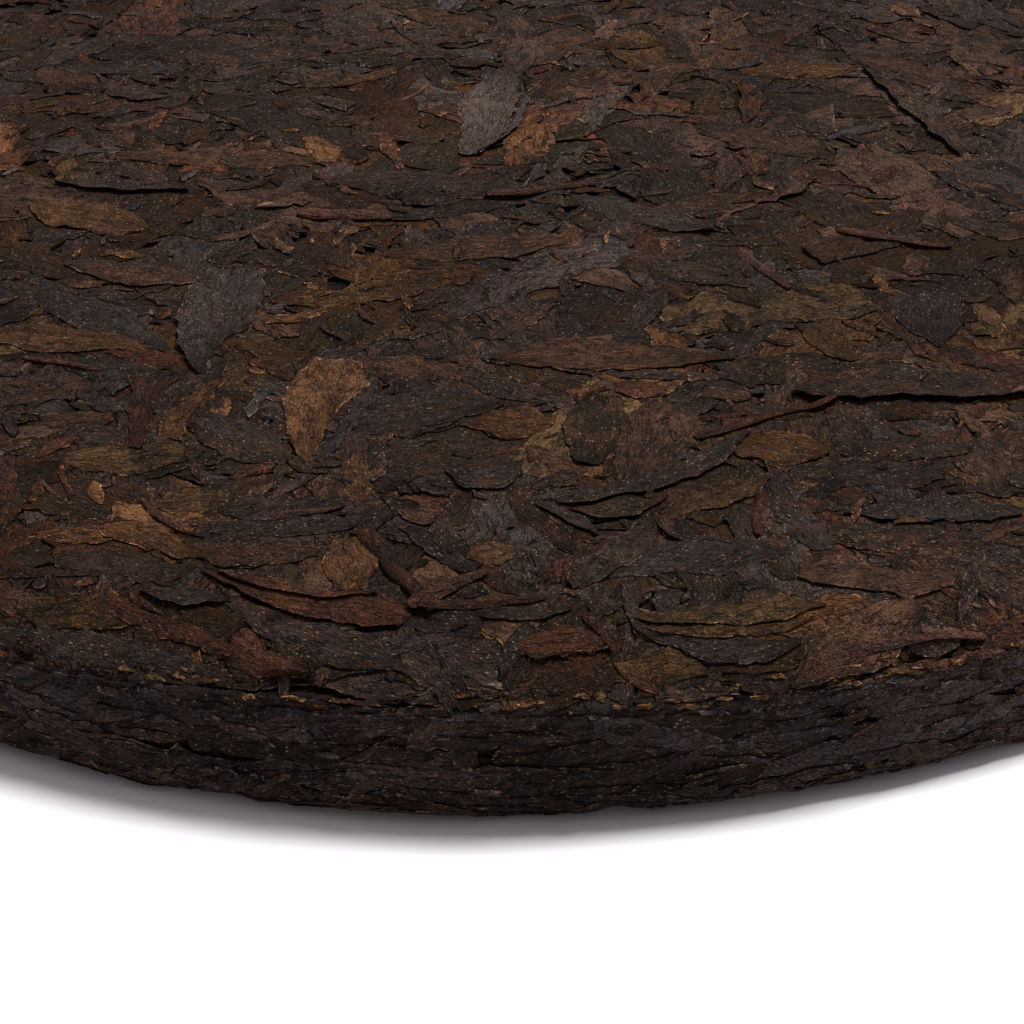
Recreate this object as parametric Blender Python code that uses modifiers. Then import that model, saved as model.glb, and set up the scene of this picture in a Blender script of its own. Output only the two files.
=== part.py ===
"""A pressed oolong tea cake, as one solid.

The cake is a round disc of whole and broken tea leaves, pressed in a mould while moist and then dried.
It has a low crown on top, a rounded shoulder, an upright rim with a crack under its top layer, and a
flat underside. The core is a turned profile whose surface is crumpled at the scale of the leaves. The
largest leaves, the twigs that lie on top and the strips that show at the rim are fused to it.

Metres, +Z up. The origin is the centre of the underside, the face that the cake rests on. The side
that faces -Y is the front.
"""

import math
import random
from collections import namedtuple

import bmesh
import bpy
from mathutils import Vector, noise

# Driving dimensions of the disc.
CAKE_RADIUS = 0.1000        # the widest circle of the rim
RIM_HEIGHT = 0.0108         # the upright rim, at its mean
CROWN_HEIGHT = 0.0205       # the middle of the top face
SHOULDER_RADIUS = 0.0895    # where the top face starts to round down to the rim
SHOULDER_HEIGHT = 0.0152
RIM_TOP_RADIUS = 0.0988     # the circle where the shoulder meets the rim
CRACK_DEPTH = 0.0012        # the crack that runs round the rim under the top layer
CRACK_GAP = 0.0007
FOOT_ROUNDING = 0.0026      # how far in the rim's foot rounds under
FLAT_SPOT_RADIUS = 0.020    # the pressed flat spot in the middle of the underside
RIM_WAVES = ((0.0006, 5, 0.0), (0.0003, 2, 0.6))    # height, number and turn of the waves in the rim's height
RIM_SWELLS = ((0.0004, 3, 0.7), (0.0003, 7, 0.0))   # the same for the rim's radius

# How the core is divided and how far its surface is crumpled.
TURN_STEPS = 64
CRUMPLE = 0.00055
CRUMPLE_SIZE = 0.0065
UNDERSIDE_CRUMPLE = 0.0007

# How far a fused leaf stands out of the core, and how far it is sunk in it.
LEAF_PROUD = 0.00050
LEAF_SUNK = 0.00060
NOTABLE_CLEARANCE = 0.009   # how near the middle of a leaf that is placed one by one another may lie
RIM_STRIP_HEIGHTS = (0.0030, 0.0064, 0.0083)

# How many leaves of each sort are spread over the faces, besides the ones placed one by one.
TOP_LEAVES = 72
UNDERSIDE_LEAVES = 32
RIM_STRIPS = 34
GOLDEN_ANGLE = math.pi * (3 - math.sqrt(5))
SEED = 20

CAKE_COLOUR = (0.030, 0.019, 0.013, 1.0)

Leaf = namedtuple("Leaf", "x y length width turn bend taper")
Twig = namedtuple("Twig", "x y length thickness turn bend")

# The leaves that stand out in the top face: place, length and width in metres, turn from +X in
# degrees, bend as a share of the length, and taper, which is the share by which the end is wider.
NOTABLE_LEAVES = (
    Leaf(-0.0175, -0.0558, 0.0160, 0.0080, -92, 0.05, -0.35),   # the pear-shaped tan leaf
    Leaf(-0.0263, -0.0391, 0.0227, 0.0085, -98, -0.12, -0.30),  # the dark spoon with a rolled edge
    Leaf(0.0109, -0.0470, 0.0225, 0.0075, -3, 0.03, -0.25),
    Leaf(0.0394, -0.0490, 0.0210, 0.0065, 1, -0.04, 0.20),
    Leaf(0.0086, -0.0581, 0.0116, 0.0068, 65, 0.00, 0.10),
    Leaf(0.0153, -0.0620, 0.0157, 0.0090, 68, 0.00, -0.20),
    Leaf(0.0261, -0.0640, 0.0095, 0.0065, 16, 0.05, 0.00),
    Leaf(0.0139, -0.0683, 0.0175, 0.0036, 51, -0.10, 0.00),
    Leaf(0.0080, -0.0734, 0.0090, 0.0050, -3, 0.10, 0.10),
    Leaf(0.0185, -0.0713, 0.0113, 0.0060, 30, 0.05, 0.00),
    Leaf(0.0101, -0.0793, 0.0125, 0.0052, 47, -0.06, 0.15),
    Leaf(-0.0171, -0.0870, 0.0216, 0.0080, -26, -0.08, 0.25),   # the long russet leaf
    Leaf(0.0311, -0.0903, 0.0151, 0.0080, 43, 0.04, 0.10),
    Leaf(0.0199, -0.0892, 0.0164, 0.0065, 11, -0.06, -0.10),
    Leaf(0.0341, -0.0811, 0.0158, 0.0060, 9, 0.03, 0.10),
    Leaf(-0.0411, -0.0446, 0.0159, 0.0050, -12, 0.04, 0.00),
    Leaf(-0.0392, -0.0388, 0.0177, 0.0080, -37, 0.08, 0.10),
    Leaf(-0.0350, -0.0564, 0.0108, 0.0045, -80, 0.00, -0.35),
    Leaf(-0.0297, -0.0582, 0.0123, 0.0070, 58, 0.06, 0.00),
    Leaf(-0.0334, -0.0776, 0.0175, 0.0070, -8, 0.03, 0.00),
    Leaf(0.0042, -0.0916, 0.0096, 0.0070, 21, 0.00, 0.00),
    Leaf(-0.0006, 0.0078, 0.0183, 0.0090, 70, -0.12, 0.20),
    Leaf(-0.0277, -0.0046, 0.0190, 0.0090, -5, 0.05, 0.00),
    Leaf(0.0304, 0.0186, 0.0152, 0.0060, 16, 0.05, 0.00),
    Leaf(0.0453, 0.0104, 0.0222, 0.0050, -66, 0.08, 0.00),
)

TWIGS = (
    Twig(-0.0078, -0.0830, 0.0118, 0.0023, -59, 0.03),
    Twig(-0.0050, -0.0848, 0.0078, 0.0014, 28, 0.04),
    Twig(-0.0006, -0.0860, 0.0112, 0.0013, 8, -0.05),
    Twig(0.0236, -0.0579, 0.0134, 0.0009, 30, 0.06),
    Twig(-0.0163, -0.0180, 0.0092, 0.0013, -7, 0.04),
    Twig(0.0260, -0.0292, 0.0101, 0.0013, -57, 0.02),
    Twig(-0.0520, 0.0380, 0.0150, 0.0014, 24, -0.06),
    Twig(0.0380, 0.0560, 0.0130, 0.0013, 118, 0.05),
)


def clear_scene():
    """Removes what the start-up file holds."""
    for thing in list(bpy.data.objects):
        bpy.data.objects.remove(thing)


def new_collection(name):
    collection = bpy.data.collections.new(name)
    bpy.context.scene.collection.children.link(collection)
    return collection


def tea_material():
    """Dry fermented leaf: near black brown with a faint sheen."""
    material = bpy.data.materials.new("tea_leaf")
    material.use_nodes = True
    shader = material.node_tree.nodes["Principled BSDF"]
    shader.inputs["Base Color"].default_value = CAKE_COLOUR
    shader.inputs["Roughness"].default_value = 0.62
    shader.inputs["Metallic"].default_value = 0.0
    return material


# The cake's surfaces, as functions of place.

def rim_height(angle):
    """The height of the rim, which is uneven round the cake: tallest at the front."""
    from_front = angle + math.pi / 2
    return RIM_HEIGHT + sum(size * math.cos(count * from_front + turn) for size, count, turn in RIM_WAVES)


def rim_swell(angle):
    """How far the rim bulges past its mean radius, from pressing."""
    return sum(size * math.sin(count * angle + turn) for size, count, turn in RIM_SWELLS)


def face_height(x, y):
    """The height of the top face: a low crown, then a shoulder that rounds down to the rim."""
    radius = min(math.hypot(x, y), RIM_TOP_RADIUS)
    if radius <= SHOULDER_RADIUS:
        return CROWN_HEIGHT - (CROWN_HEIGHT - SHOULDER_HEIGHT) * (radius / SHOULDER_RADIUS) ** 2
    over = (radius - SHOULDER_RADIUS) / (RIM_TOP_RADIUS - SHOULDER_RADIUS)
    drop = SHOULDER_HEIGHT - rim_height(math.atan2(y, x))
    return SHOULDER_HEIGHT - drop * over ** 1.5


def wall_radius(height):
    """The rim's radius at a height: widest at mid height, rounded in at the foot."""
    if height < FOOT_ROUNDING:
        return CAKE_RADIUS - FOOT_ROUNDING * (1 - height / FOOT_ROUNDING) ** 2
    rise = (height - FOOT_ROUNDING) / (RIM_HEIGHT - FOOT_ROUNDING)
    return CAKE_RADIUS - (CAKE_RADIUS - RIM_TOP_RADIUS) * rise ** 2


def crumple(point, offset=0.0):
    """A smooth random value from -1 to 1 that changes at the scale of a leaf."""
    return noise.noise(Vector(point) / CRUMPLE_SIZE + Vector((offset, 0.0, 0.0)))


# The core.

def core_profile():
    """Radius and height down the outside of the core, from the crown to the middle of the underside."""
    crown = [(SHOULDER_RADIUS * step / 8, face_height(SHOULDER_RADIUS * step / 8, 0)) for step in range(9)]
    shoulder = []
    for share in (0.4, 0.75, 1.0):
        radius = SHOULDER_RADIUS + (RIM_TOP_RADIUS - SHOULDER_RADIUS) * share
        shoulder.append((radius, SHOULDER_HEIGHT - (SHOULDER_HEIGHT - RIM_HEIGHT) * share ** 1.5))
    crack_top = RIM_HEIGHT - 0.0007
    crack = [
        (RIM_TOP_RADIUS + 0.0001, crack_top),
        (RIM_TOP_RADIUS - CRACK_DEPTH, crack_top - CRACK_GAP / 2),
        (wall_radius(crack_top - CRACK_GAP), crack_top - CRACK_GAP),
    ]
    wall = [(wall_radius(height), height) for height in (0.0062, FOOT_ROUNDING, 0.0009, 0.0)]
    underside = [(radius, 0.0) for radius in (0.084, 0.068, 0.052, 0.036, FLAT_SPOT_RADIUS, 0.0)]
    return crown + shoulder + crack + wall + underside


def turned_core(collection):
    """The profile turned round Z, and made a mesh."""
    outline = bpy.data.meshes.new("core_outline")
    points = [(radius, 0.0, height) for radius, height in core_profile()]
    outline.from_pydata(points, [(i, i + 1) for i in range(len(points) - 1)], [])
    turning = bpy.data.objects.new("core_outline", outline)
    collection.objects.link(turning)
    screw = turning.modifiers.new("Turn", "SCREW")
    screw.angle = 2 * math.pi
    screw.steps = TURN_STEPS
    screw.render_steps = TURN_STEPS
    screw.use_merge_vertices = True
    screw.merge_threshold = 0.00001
    turned = turning.evaluated_get(bpy.context.evaluated_depsgraph_get())
    mesh = bpy.data.meshes.new_from_object(turned)
    bpy.data.objects.remove(turning)
    core = bpy.data.objects.new("tea_cake", mesh)
    collection.objects.link(core)
    return core


def crumple_core(core):
    """Moves each point of the core: the top face up and down, the rim in and out, the underside up.

    The middle of the underside and the ring at the foot of the rim stay level, as the cake rests on them.
    """
    for vertex in core.data.vertices:
        x, y, height = vertex.co
        radius, angle = math.hypot(x, y), math.atan2(y, x)
        if radius < 1e-6:
            continue
        if height < 0.0001:
            pressed_flat = radius < FLAT_SPOT_RADIUS + 0.001 or radius > wall_radius(0.0) - 0.001
            vertex.co.z = 0.0 if pressed_flat else UNDERSIDE_CRUMPLE * abs(crumple(vertex.co, 40.0))
            continue
        share = min(1.0, height / RIM_HEIGHT)
        lift = CRUMPLE * crumple(vertex.co)
        out = 1 + rim_swell(angle) / CAKE_RADIUS
        if radius > SHOULDER_RADIUS + 0.001:
            out += 1.4 * CRUMPLE * crumple(vertex.co, 9.0) / CAKE_RADIUS
            lift = lift * 0.5 + (rim_height(angle) - RIM_HEIGHT) * share
        vertex.co = (x * out, y * out, height + lift)


# Leaves, strips and twigs. Each is shaped flat, then laid on a surface.

def half_width(along, taper):
    """Half the width of a leaf as a share of its widest, from one end at -1 to the other at 1."""
    return max(0.16, (1 - along * along) ** 0.6) * (1 + taper * along)


def on_top(leaf):
    """How a leaf's own frame lies on the top face."""
    turn = math.radians(leaf.turn)

    def place(along, across, lift):
        x = leaf.x + along * math.cos(turn) - across * math.sin(turn)
        y = leaf.y + along * math.sin(turn) + across * math.cos(turn)
        reach = math.hypot(x, y)
        if reach > RIM_TOP_RADIUS - 0.0008:
            x, y = (x * (RIM_TOP_RADIUS - 0.0008) / reach, y * (RIM_TOP_RADIUS - 0.0008) / reach)
        return x, y, face_height(x, y) + CRUMPLE * crumple((x, y, face_height(x, y))) + lift

    return place


def on_underside(leaf):
    """How a leaf's own frame lies under the cake, facing down."""
    turn = math.radians(leaf.turn)

    def place(along, across, lift):
        x = leaf.x + along * math.cos(turn) - across * math.sin(turn)
        y = leaf.y + along * math.sin(turn) + across * math.cos(turn)
        return x, y, UNDERSIDE_CRUMPLE * 0.35 - lift

    return place


def on_rim(angle, height, tilt):
    """How a strip's own frame lies on the rim: along the circle, across it upwards."""

    def place(along, across, lift):
        up = height + across + along * math.tan(tilt)
        around = angle + along / CAKE_RADIUS
        radius = wall_radius(up) + rim_swell(around) + lift
        return radius * math.cos(around), radius * math.sin(around), up

    return place


def lay_leaf(collection, place, length, width, bend, taper, wave, stations=4):
    """A thin wavy leaf: a strip of quads cut to the outline, given thickness and laid by place."""
    mesh = bmesh.new()
    bmesh.ops.create_grid(mesh, x_segments=stations, y_segments=1, size=1.0)
    bmesh.ops.triangulate(mesh, faces=mesh.faces)
    under = list(mesh.verts)
    raised = bmesh.ops.extrude_face_region(mesh, geom=list(mesh.faces))
    upper = {part for part in raised["geom"] if isinstance(part, bmesh.types.BMVert)}
    for vertex in under + list(upper):
        along, side = vertex.co.x, vertex.co.y
        across = side * half_width(along, taper) * width / 2 + bend * length * (1 - along * along)
        ripple = wave * math.sin(5.0 * along + 2.0 * side)
        lift = LEAF_PROUD + ripple if vertex in upper else -LEAF_SUNK
        vertex.co = place(along * length / 2, across, lift)
    mesh.normal_update()
    bmesh.ops.recalc_face_normals(mesh, faces=mesh.faces)
    solid = bpy.data.meshes.new("leaf")
    mesh.to_mesh(solid)
    mesh.free()
    collection.objects.link(bpy.data.objects.new("leaf", solid))


def lay_twig(collection, twig):
    """A tapered twig with six sides, bent a little and half sunk in the top face."""
    mesh = bmesh.new()
    bmesh.ops.create_cone(mesh, cap_ends=True, segments=6, radius1=1.0, radius2=0.7, depth=2.0)
    lengthwise = [edge for edge in mesh.edges if abs(edge.verts[0].co.z - edge.verts[1].co.z) > 1.0]
    bmesh.ops.subdivide_edges(mesh, edges=lengthwise, cuts=2)
    place = on_top(twig)
    for vertex in mesh.verts:
        side, up, along = vertex.co
        across = side * twig.thickness / 2 + twig.bend * twig.length * (1 - along * along)
        vertex.co = place(along * twig.length / 2, across, (up + 0.55) * twig.thickness / 2)
    mesh.normal_update()
    bmesh.ops.recalc_face_normals(mesh, faces=mesh.faces)
    solid = bpy.data.meshes.new("twig")
    mesh.to_mesh(solid)
    mesh.free()
    collection.objects.link(bpy.data.objects.new("twig", solid))


def spread(count, reach, draw, largest=0.021, smallest=0.011):
    """Leaves spread evenly on a sunflower spiral, the largest first in a shuffled order of places."""
    places = list(range(count))
    draw.shuffle(places)
    for rank, step in enumerate(places):
        radius = reach * math.sqrt((step + 0.5) / count)
        angle = step * GOLDEN_ANGLE + draw.uniform(-0.1, 0.1)
        length = largest - (largest - smallest) * rank / count
        yield Leaf(
            radius * math.cos(angle), radius * math.sin(angle), length, length * draw.uniform(0.30, 0.48),
            draw.uniform(0, 360), draw.uniform(-0.10, 0.10), draw.uniform(-0.3, 0.3),
        )


def near_notable(leaf):
    """True where a leaf would lie over one of those placed one by one."""
    return any(math.hypot(leaf.x - other.x, leaf.y - other.y) < NOTABLE_CLEARANCE for other in NOTABLE_LEAVES)


def lay_all(collection):
    """Every leaf, strip and twig that is fused to the core."""
    draw = random.Random(SEED)
    for leaf in NOTABLE_LEAVES:
        lay_leaf(collection, on_top(leaf), leaf.length, leaf.width, leaf.bend, leaf.taper, 0.00012)
    for leaf in spread(TOP_LEAVES, 0.0945, draw):
        if not near_notable(leaf):
            lay_leaf(collection, on_top(leaf), leaf.length, leaf.width, leaf.bend, leaf.taper, 0.00018)
    for leaf in spread(UNDERSIDE_LEAVES, 0.0860, draw):
        if math.hypot(leaf.x, leaf.y) > FLAT_SPOT_RADIUS + 0.012:
            lay_leaf(collection, on_underside(leaf), leaf.length, leaf.width, leaf.bend, leaf.taper, 0.00015)
    for step in range(RIM_STRIPS):
        angle = 2 * math.pi * (step + draw.uniform(-0.2, 0.2)) / RIM_STRIPS
        height = RIM_STRIP_HEIGHTS[step % 3] + draw.uniform(-0.0005, 0.0005)
        tilt = draw.uniform(-0.05, 0.05)
        length, width = draw.uniform(0.014, 0.026), draw.uniform(0.0015, 0.0026)
        lay_leaf(collection, on_rim(angle, height, tilt), length, width, 0.0, 0.0, 0.00015)
    for twig in TWIGS:
        lay_twig(collection, twig)


# Joining.

def apply_boolean(target, name, operation, **operand):
    """Adds one Boolean to the target, applies it, and returns."""
    boolean = target.modifiers.new(name, "BOOLEAN")
    boolean.operation = operation
    boolean.solver = "MANIFOLD"
    for setting, value in operand.items():
        setattr(boolean, setting, value)
    bpy.context.view_layer.update()
    joined = target.evaluated_get(bpy.context.evaluated_depsgraph_get())
    mesh = bpy.data.meshes.new_from_object(joined)
    target.modifiers.clear()
    target.data = mesh


def keep_largest_shell(target):
    """Drops loose scraps and fills sealed hollows, by keeping the outer shell alone."""
    mesh = bmesh.new()
    mesh.from_mesh(target.data)
    unseen, shells = set(mesh.verts), []
    while unseen:
        shell, front = set(), [unseen.pop()]
        while front:
            vertex = front.pop()
            shell.add(vertex)
            linked = {edge.other_vert(vertex) for edge in vertex.link_edges} & unseen
            unseen -= linked
            front.extend(linked)
        shells.append(shell)
    largest = max(shells, key=len)
    bmesh.ops.delete(mesh, geom=[v for v in mesh.verts if v not in largest], context="VERTS")
    mesh.to_mesh(target.data)
    mesh.free()


def base_cutter(collection):
    """The block under z = 0 that keeps the underside flat where it rests."""
    mesh = bmesh.new()
    bmesh.ops.create_cube(mesh, size=1.0)
    side, depth = 2.4 * CAKE_RADIUS, 0.004
    for vertex in mesh.verts:
        vertex.co = (vertex.co.x * side, vertex.co.y * side, (vertex.co.z - 0.5) * depth)
    block = bpy.data.meshes.new("resting_plane")
    mesh.to_mesh(block)
    mesh.free()
    cutter = bpy.data.objects.new("resting_plane", block)
    cutter.hide_render = True
    cutter.display_type = "WIRE"
    collection.objects.link(cutter)
    return cutter


def main():
    clear_scene()
    cake_parts = new_collection("oolong_tea_cake")
    leaves = new_collection("leaves_to_fuse")
    cutters = new_collection("cutters")
    core = turned_core(cake_parts)
    crumple_core(core)
    lay_all(leaves)
    apply_boolean(core, "Fuse leaves", "UNION", operand_type="COLLECTION", collection=leaves)
    for leaf in list(leaves.objects):
        bpy.data.objects.remove(leaf)
    apply_boolean(core, "Flatten underside", "DIFFERENCE", object=base_cutter(cutters))
    keep_largest_shell(core)
    core.data.materials.clear()
    core.data.materials.append(tea_material())


main()
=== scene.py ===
# %% [markdown]
# # A pressed oolong tea cake
#
# The real cake is a disc of whole and broken tea leaves. They were steamed soft, pressed in a mould and
# dried, so each leaf took the shape of whatever lay under it and is stuck to it. A displaced disc with a
# leaf pattern would be quick, but its leaves would have no edges and nothing would lie over anything.
# So this lesson presses a cake: it lays some thousands of thin leaf solids one after the other on a map
# of how high the cake already reaches, and every leaf drapes over the ones before it.

# %% Tools, and the frame that every piece is built around
import functools
import math
from collections import namedtuple

import bpy
import numpy as np
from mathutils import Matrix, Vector


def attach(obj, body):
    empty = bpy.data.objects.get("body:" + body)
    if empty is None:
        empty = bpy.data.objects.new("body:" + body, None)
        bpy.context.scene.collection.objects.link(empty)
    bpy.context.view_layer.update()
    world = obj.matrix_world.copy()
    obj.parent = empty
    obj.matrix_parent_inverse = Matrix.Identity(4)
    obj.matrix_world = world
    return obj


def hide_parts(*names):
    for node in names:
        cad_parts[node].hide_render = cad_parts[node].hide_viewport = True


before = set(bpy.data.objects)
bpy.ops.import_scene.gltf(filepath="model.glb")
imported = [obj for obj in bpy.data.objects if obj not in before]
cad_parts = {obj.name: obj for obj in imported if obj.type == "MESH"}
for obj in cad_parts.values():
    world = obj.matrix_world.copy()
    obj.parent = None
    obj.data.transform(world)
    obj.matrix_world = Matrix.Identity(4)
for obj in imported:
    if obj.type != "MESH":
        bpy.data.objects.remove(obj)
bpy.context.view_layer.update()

# %% [markdown]
# ## The skin
#
# The disc has a low crown, a rounded shoulder, an upright rim and a foot that rounds under. Leaves lie on
# all of it, and some bend over the shoulder. It is easiest to lay them on a flat map, so the skin is
# unrolled: a place on the map is as far from its middle as the way over the crown and down the rim is
# long. Everything up to the last step is in millimetres.

# %% The disc's own sizes
MM = 0.001
CAKE_RADIUS = 100.0
RIM_HEIGHT = 10.8
CROWN_HEIGHT = 20.5
SHOULDER_RADIUS = 89.5
SHOULDER_HEIGHT = 15.2
RIM_TOP_RADIUS = 98.8
FOOT_ROUNDING = 2.6
LOWEST = 0.02
RIM_WAVES = ((0.6, 5, 0.0), (0.3, 2, 0.6))
RIM_SWELLS = ((0.4, 3, 0.7), (0.3, 7, 0.0))


def rim_height(angle):
    """The height of the rim, which is uneven round the cake."""
    from_front = angle + math.pi / 2
    return RIM_HEIGHT + sum(size * np.cos(count * from_front + turn) for size, count, turn in RIM_WAVES)


def rim_swell(angle):
    """How far the rim bulges past its mean radius."""
    return sum(size * np.sin(count * angle + turn) for size, count, turn in RIM_SWELLS)


def skin_profile(step=0.1):
    """Way, radius, height and outward normal along the skin, from the crown to the foot of the rim."""
    radius = np.linspace(0, RIM_TOP_RADIUS, 1000)
    over = np.clip((radius - SHOULDER_RADIUS) / (RIM_TOP_RADIUS - SHOULDER_RADIUS), 0, 1)
    crown = CROWN_HEIGHT - (CROWN_HEIGHT - SHOULDER_HEIGHT) * (radius / SHOULDER_RADIUS) ** 2
    shoulder = SHOULDER_HEIGHT - (SHOULDER_HEIGHT - RIM_HEIGHT) * over ** 1.5
    face = np.where(radius <= SHOULDER_RADIUS, crown, shoulder)
    down = np.linspace(RIM_HEIGHT, 0, 120)[1:]
    foot = FOOT_ROUNDING * np.clip(1 - down / FOOT_ROUNDING, 0, 1) ** 2
    rise = np.clip((down - FOOT_ROUNDING) / (RIM_HEIGHT - FOOT_ROUNDING), 0, 1)
    wall = CAKE_RADIUS - foot - (CAKE_RADIUS - RIM_TOP_RADIUS) * rise ** 2
    radius, height = np.append(radius, wall), np.append(face, down)
    way = np.append(0, np.cumsum(np.hypot(np.diff(radius), np.diff(height))))
    even = np.arange(0, way[-1], step)
    radius, height = np.interp(even, way, radius), np.interp(even, way, height)
    soften = np.ones(25) / 25
    out = np.convolve(np.pad(-np.gradient(height), 12, mode="edge"), soften, mode="valid")
    up = np.convolve(np.pad(np.gradient(radius), 12, mode="edge"), soften, mode="valid")
    size = np.hypot(out, up)
    return even, radius, height, out / size, up / size


WAY, RADIUS, HEIGHT, OUTWARD, UPWARD = skin_profile()
FOOT_WAY = WAY[-1]
RIM_TOP_WAY = float(np.interp(-RIM_HEIGHT, -HEIGHT, WAY))
SHOULDER_WAY = float(np.interp(SHOULDER_RADIUS, RADIUS[WAY < RIM_TOP_WAY], WAY[WAY < RIM_TOP_WAY]))
print(f"the way over the skin: shoulder {SHOULDER_WAY:.1f}, rim {RIM_TOP_WAY:.1f}, foot {FOOT_WAY:.1f}")


def on_skin(map_x, map_y, lift):
    """Points that stand so far out of the skin, from their places on the map."""
    way, angle = np.hypot(map_x, map_y), np.arctan2(map_y, map_x)
    share = np.clip((CROWN_HEIGHT - np.interp(way, WAY, HEIGHT)) / (CROWN_HEIGHT - RIM_HEIGHT), 0, 1) ** 3
    share = np.where(way < RIM_TOP_WAY, share, np.interp(way, WAY, HEIGHT) / RIM_HEIGHT)
    radius = np.interp(way, WAY, RADIUS) + lift * np.interp(way, WAY, OUTWARD)
    height = np.interp(way, WAY, HEIGHT) + lift * np.interp(way, WAY, UPWARD)
    height = np.maximum(height + (rim_height(angle) - RIM_HEIGHT) * share, LOWEST)
    radius = radius * (1 + rim_swell(angle) / CAKE_RADIUS)
    return np.stack([radius * np.cos(angle), radius * np.sin(angle), height], axis=-1)


def map_place(x, y):
    """Where a point of the top face, seen from above, is on the map."""
    reach = math.hypot(x, y)
    way = float(np.interp(reach, RADIUS[WAY < RIM_TOP_WAY], WAY[WAY < RIM_TOP_WAY]))
    return x * way / max(reach, 1e-6), y * way / max(reach, 1e-6)


# %% [markdown]
# ## The bed
#
# The bed is what has been laid so far: a square grid of heights over the map. A new leaf is held up by the
# highest things under it, and it is soft, so it bridges small gaps and rounds off the edges that it
# covers. Widening the heights under it and then blurring them gives that drape. Towards its edges it is
# stuck down, so there it follows the mean height instead. When the cake is full, the mould levels it:
# most of what is uneven over some millimetres goes, and high places are squeezed more than low ones.

# %% A grid of heights, and a smooth random field
CELL = 0.25
LEVELLING = 0.92
FLATTENING = 0.48
MOULD_DEPTH = 1.5
SEED = 41
Hollow = namedtuple("Hollow", "x y half_x half_y depth")
HOLLOWS = (
    # Dark gaps between leaves: the middle, half the size each way, and the depth
    Hollow(3.9, -84.4, 2.3, 0.8, 1.5), Hollow(19.6, -86.1, 1.8, 0.7, 1.1),
    Hollow(17.0, -53.2, 1.4, 0.8, 0.9), Hollow(28.6, -88.2, 0.9, 0.6, 1.0),
    Hollow(-10.6, -53.2, 1.6, 0.6, 0.7), Hollow(-8.0, -89.6, 1.4, 0.5, 0.9),
    Hollow(-20.6, -88.9, 1.8, 0.5, 0.9), Hollow(42.6, -78.2, 0.9, 0.7, 0.9),
    Hollow(-15.6, -56.8, 0.8, 0.7, 0.8), Hollow(-37.0, -62.0, 1.2, 0.6, 0.8),
    Hollow(8.4, -45.0, 1.6, 0.6, 0.8), Hollow(-43.0, -89.4, 1.6, 0.6, 0.9),
)
BED_WAVES = ((0.30, 6, 0), (0.15, 2, 5))
PRESSED_WAVES = ((0.16, 9, 6.0), (0.07, 3.5, 12.0))
LAID_HEIGHT = 0.6


def waver(x, y, seed=0.0):
    """Smooth random values from -1 to 1 over a plane, about one hump to a unit."""
    left, low = np.floor(x), np.floor(y)
    across, up = x - left, y - low
    across, up = across * across * (3 - 2 * across), up * up * (3 - 2 * up)

    def corner(i, j):
        mixed = np.sin((left + i) * 127.1 + (low + j) * 311.7 + seed * 74.7) * 43758.5453
        return 2 * (mixed - np.floor(mixed)) - 1

    lower = corner(0, 0) * (1 - across) + corner(1, 0) * across
    upper = corner(0, 1) * (1 - across) + corner(1, 1) * across
    return lower * (1 - up) + upper * up


def slide(heights, reach, widen):
    """The largest or the mean of the heights within reach cells, along both axes in turn."""
    for axis in (0, 1):
        shifted = [np.roll(heights, step, axis) for step in range(-reach, reach + 1)]
        heights = np.max(shifted, axis=0) if widen else np.mean(shifted, axis=0)
    return heights


class Bed:
    """How high the leaves laid so far reach, on a square grid over the map."""

    def __init__(self, reach, seed, hollows=()):
        self.reach, self.hollows = reach, hollows
        self.count = int(2 * reach / CELL) + 1
        self.whole = (slice(0, self.count), slice(0, self.count))
        places = np.arange(self.count) * CELL - reach
        x, y = np.meshgrid(places, places)
        self.height = 0
        for size, length, further in BED_WAVES:
            self.height = self.height + size * waver(x / length, y / length, seed + further)

    def index(self, place):
        """Where a place is, counted in cells from the grid's corner."""
        return (np.asarray(place) + self.reach) / CELL

    def window(self, x, y, half):
        """The part of the grid round a place, as slices and as the places of its cells."""
        low_x, low_y = (int(np.clip(self.index(p - half), 0, self.count - 2)) for p in (x, y))
        high_x, high_y = (int(np.clip(self.index(p + half), 1, self.count - 1)) for p in (x, y))
        part = (slice(low_y, high_y + 1), slice(low_x, high_x + 1))
        across, up = np.arange(low_x, high_x + 1), np.arange(low_y, high_y + 1)
        return part, *np.meshgrid(across * CELL - self.reach, up * CELL - self.reach)

    def drape(self, part, reach):
        """Two surfaces over a part of the grid: one rests on its high places, one is its mean height."""
        heights = self.height[part]
        return slide(slide(heights, reach, True), reach, False), slide(heights, reach, False)

    def fill_mould(self):
        """Ends the laying: notes how high the bed is on the whole, and the floor just under the leaves."""
        laid = (self.height > LAID_HEIGHT).astype(float)
        share = slide(slide(laid, 5, False), 5, False)
        broad = slide(slide(self.height * laid, 5, False), 5, False)
        self.mean = self.height[self.height > LAID_HEIGHT].mean()
        self.broad = np.where(share > 0.05, broad / np.maximum(share, 0.05), self.mean)
        self.floor = slide(-slide(-self.height, 4, True), 3, False)

    def pressed(self, x, y, height):
        """Heights after pressing, over the mean skin."""
        level = self.mean + LEVELLING * (read(self.broad, self.whole, self, x, y) - self.mean)
        flat = MOULD_DEPTH * (1 - np.exp(-FLATTENING * (height - level) / MOULD_DEPTH))
        for size, length, seed in PRESSED_WAVES:
            flat = flat + size * waver(x / length, y / length, seed)
        for hollow in self.hollows:
            hollow_x, hollow_y = map_place(hollow.x, hollow.y)
            off = ((x - hollow_x) / hollow.half_x) ** 2 + ((y - hollow_y) / hollow.half_y) ** 2
            flat = flat - hollow.depth * np.exp(-off)
        return flat


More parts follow.
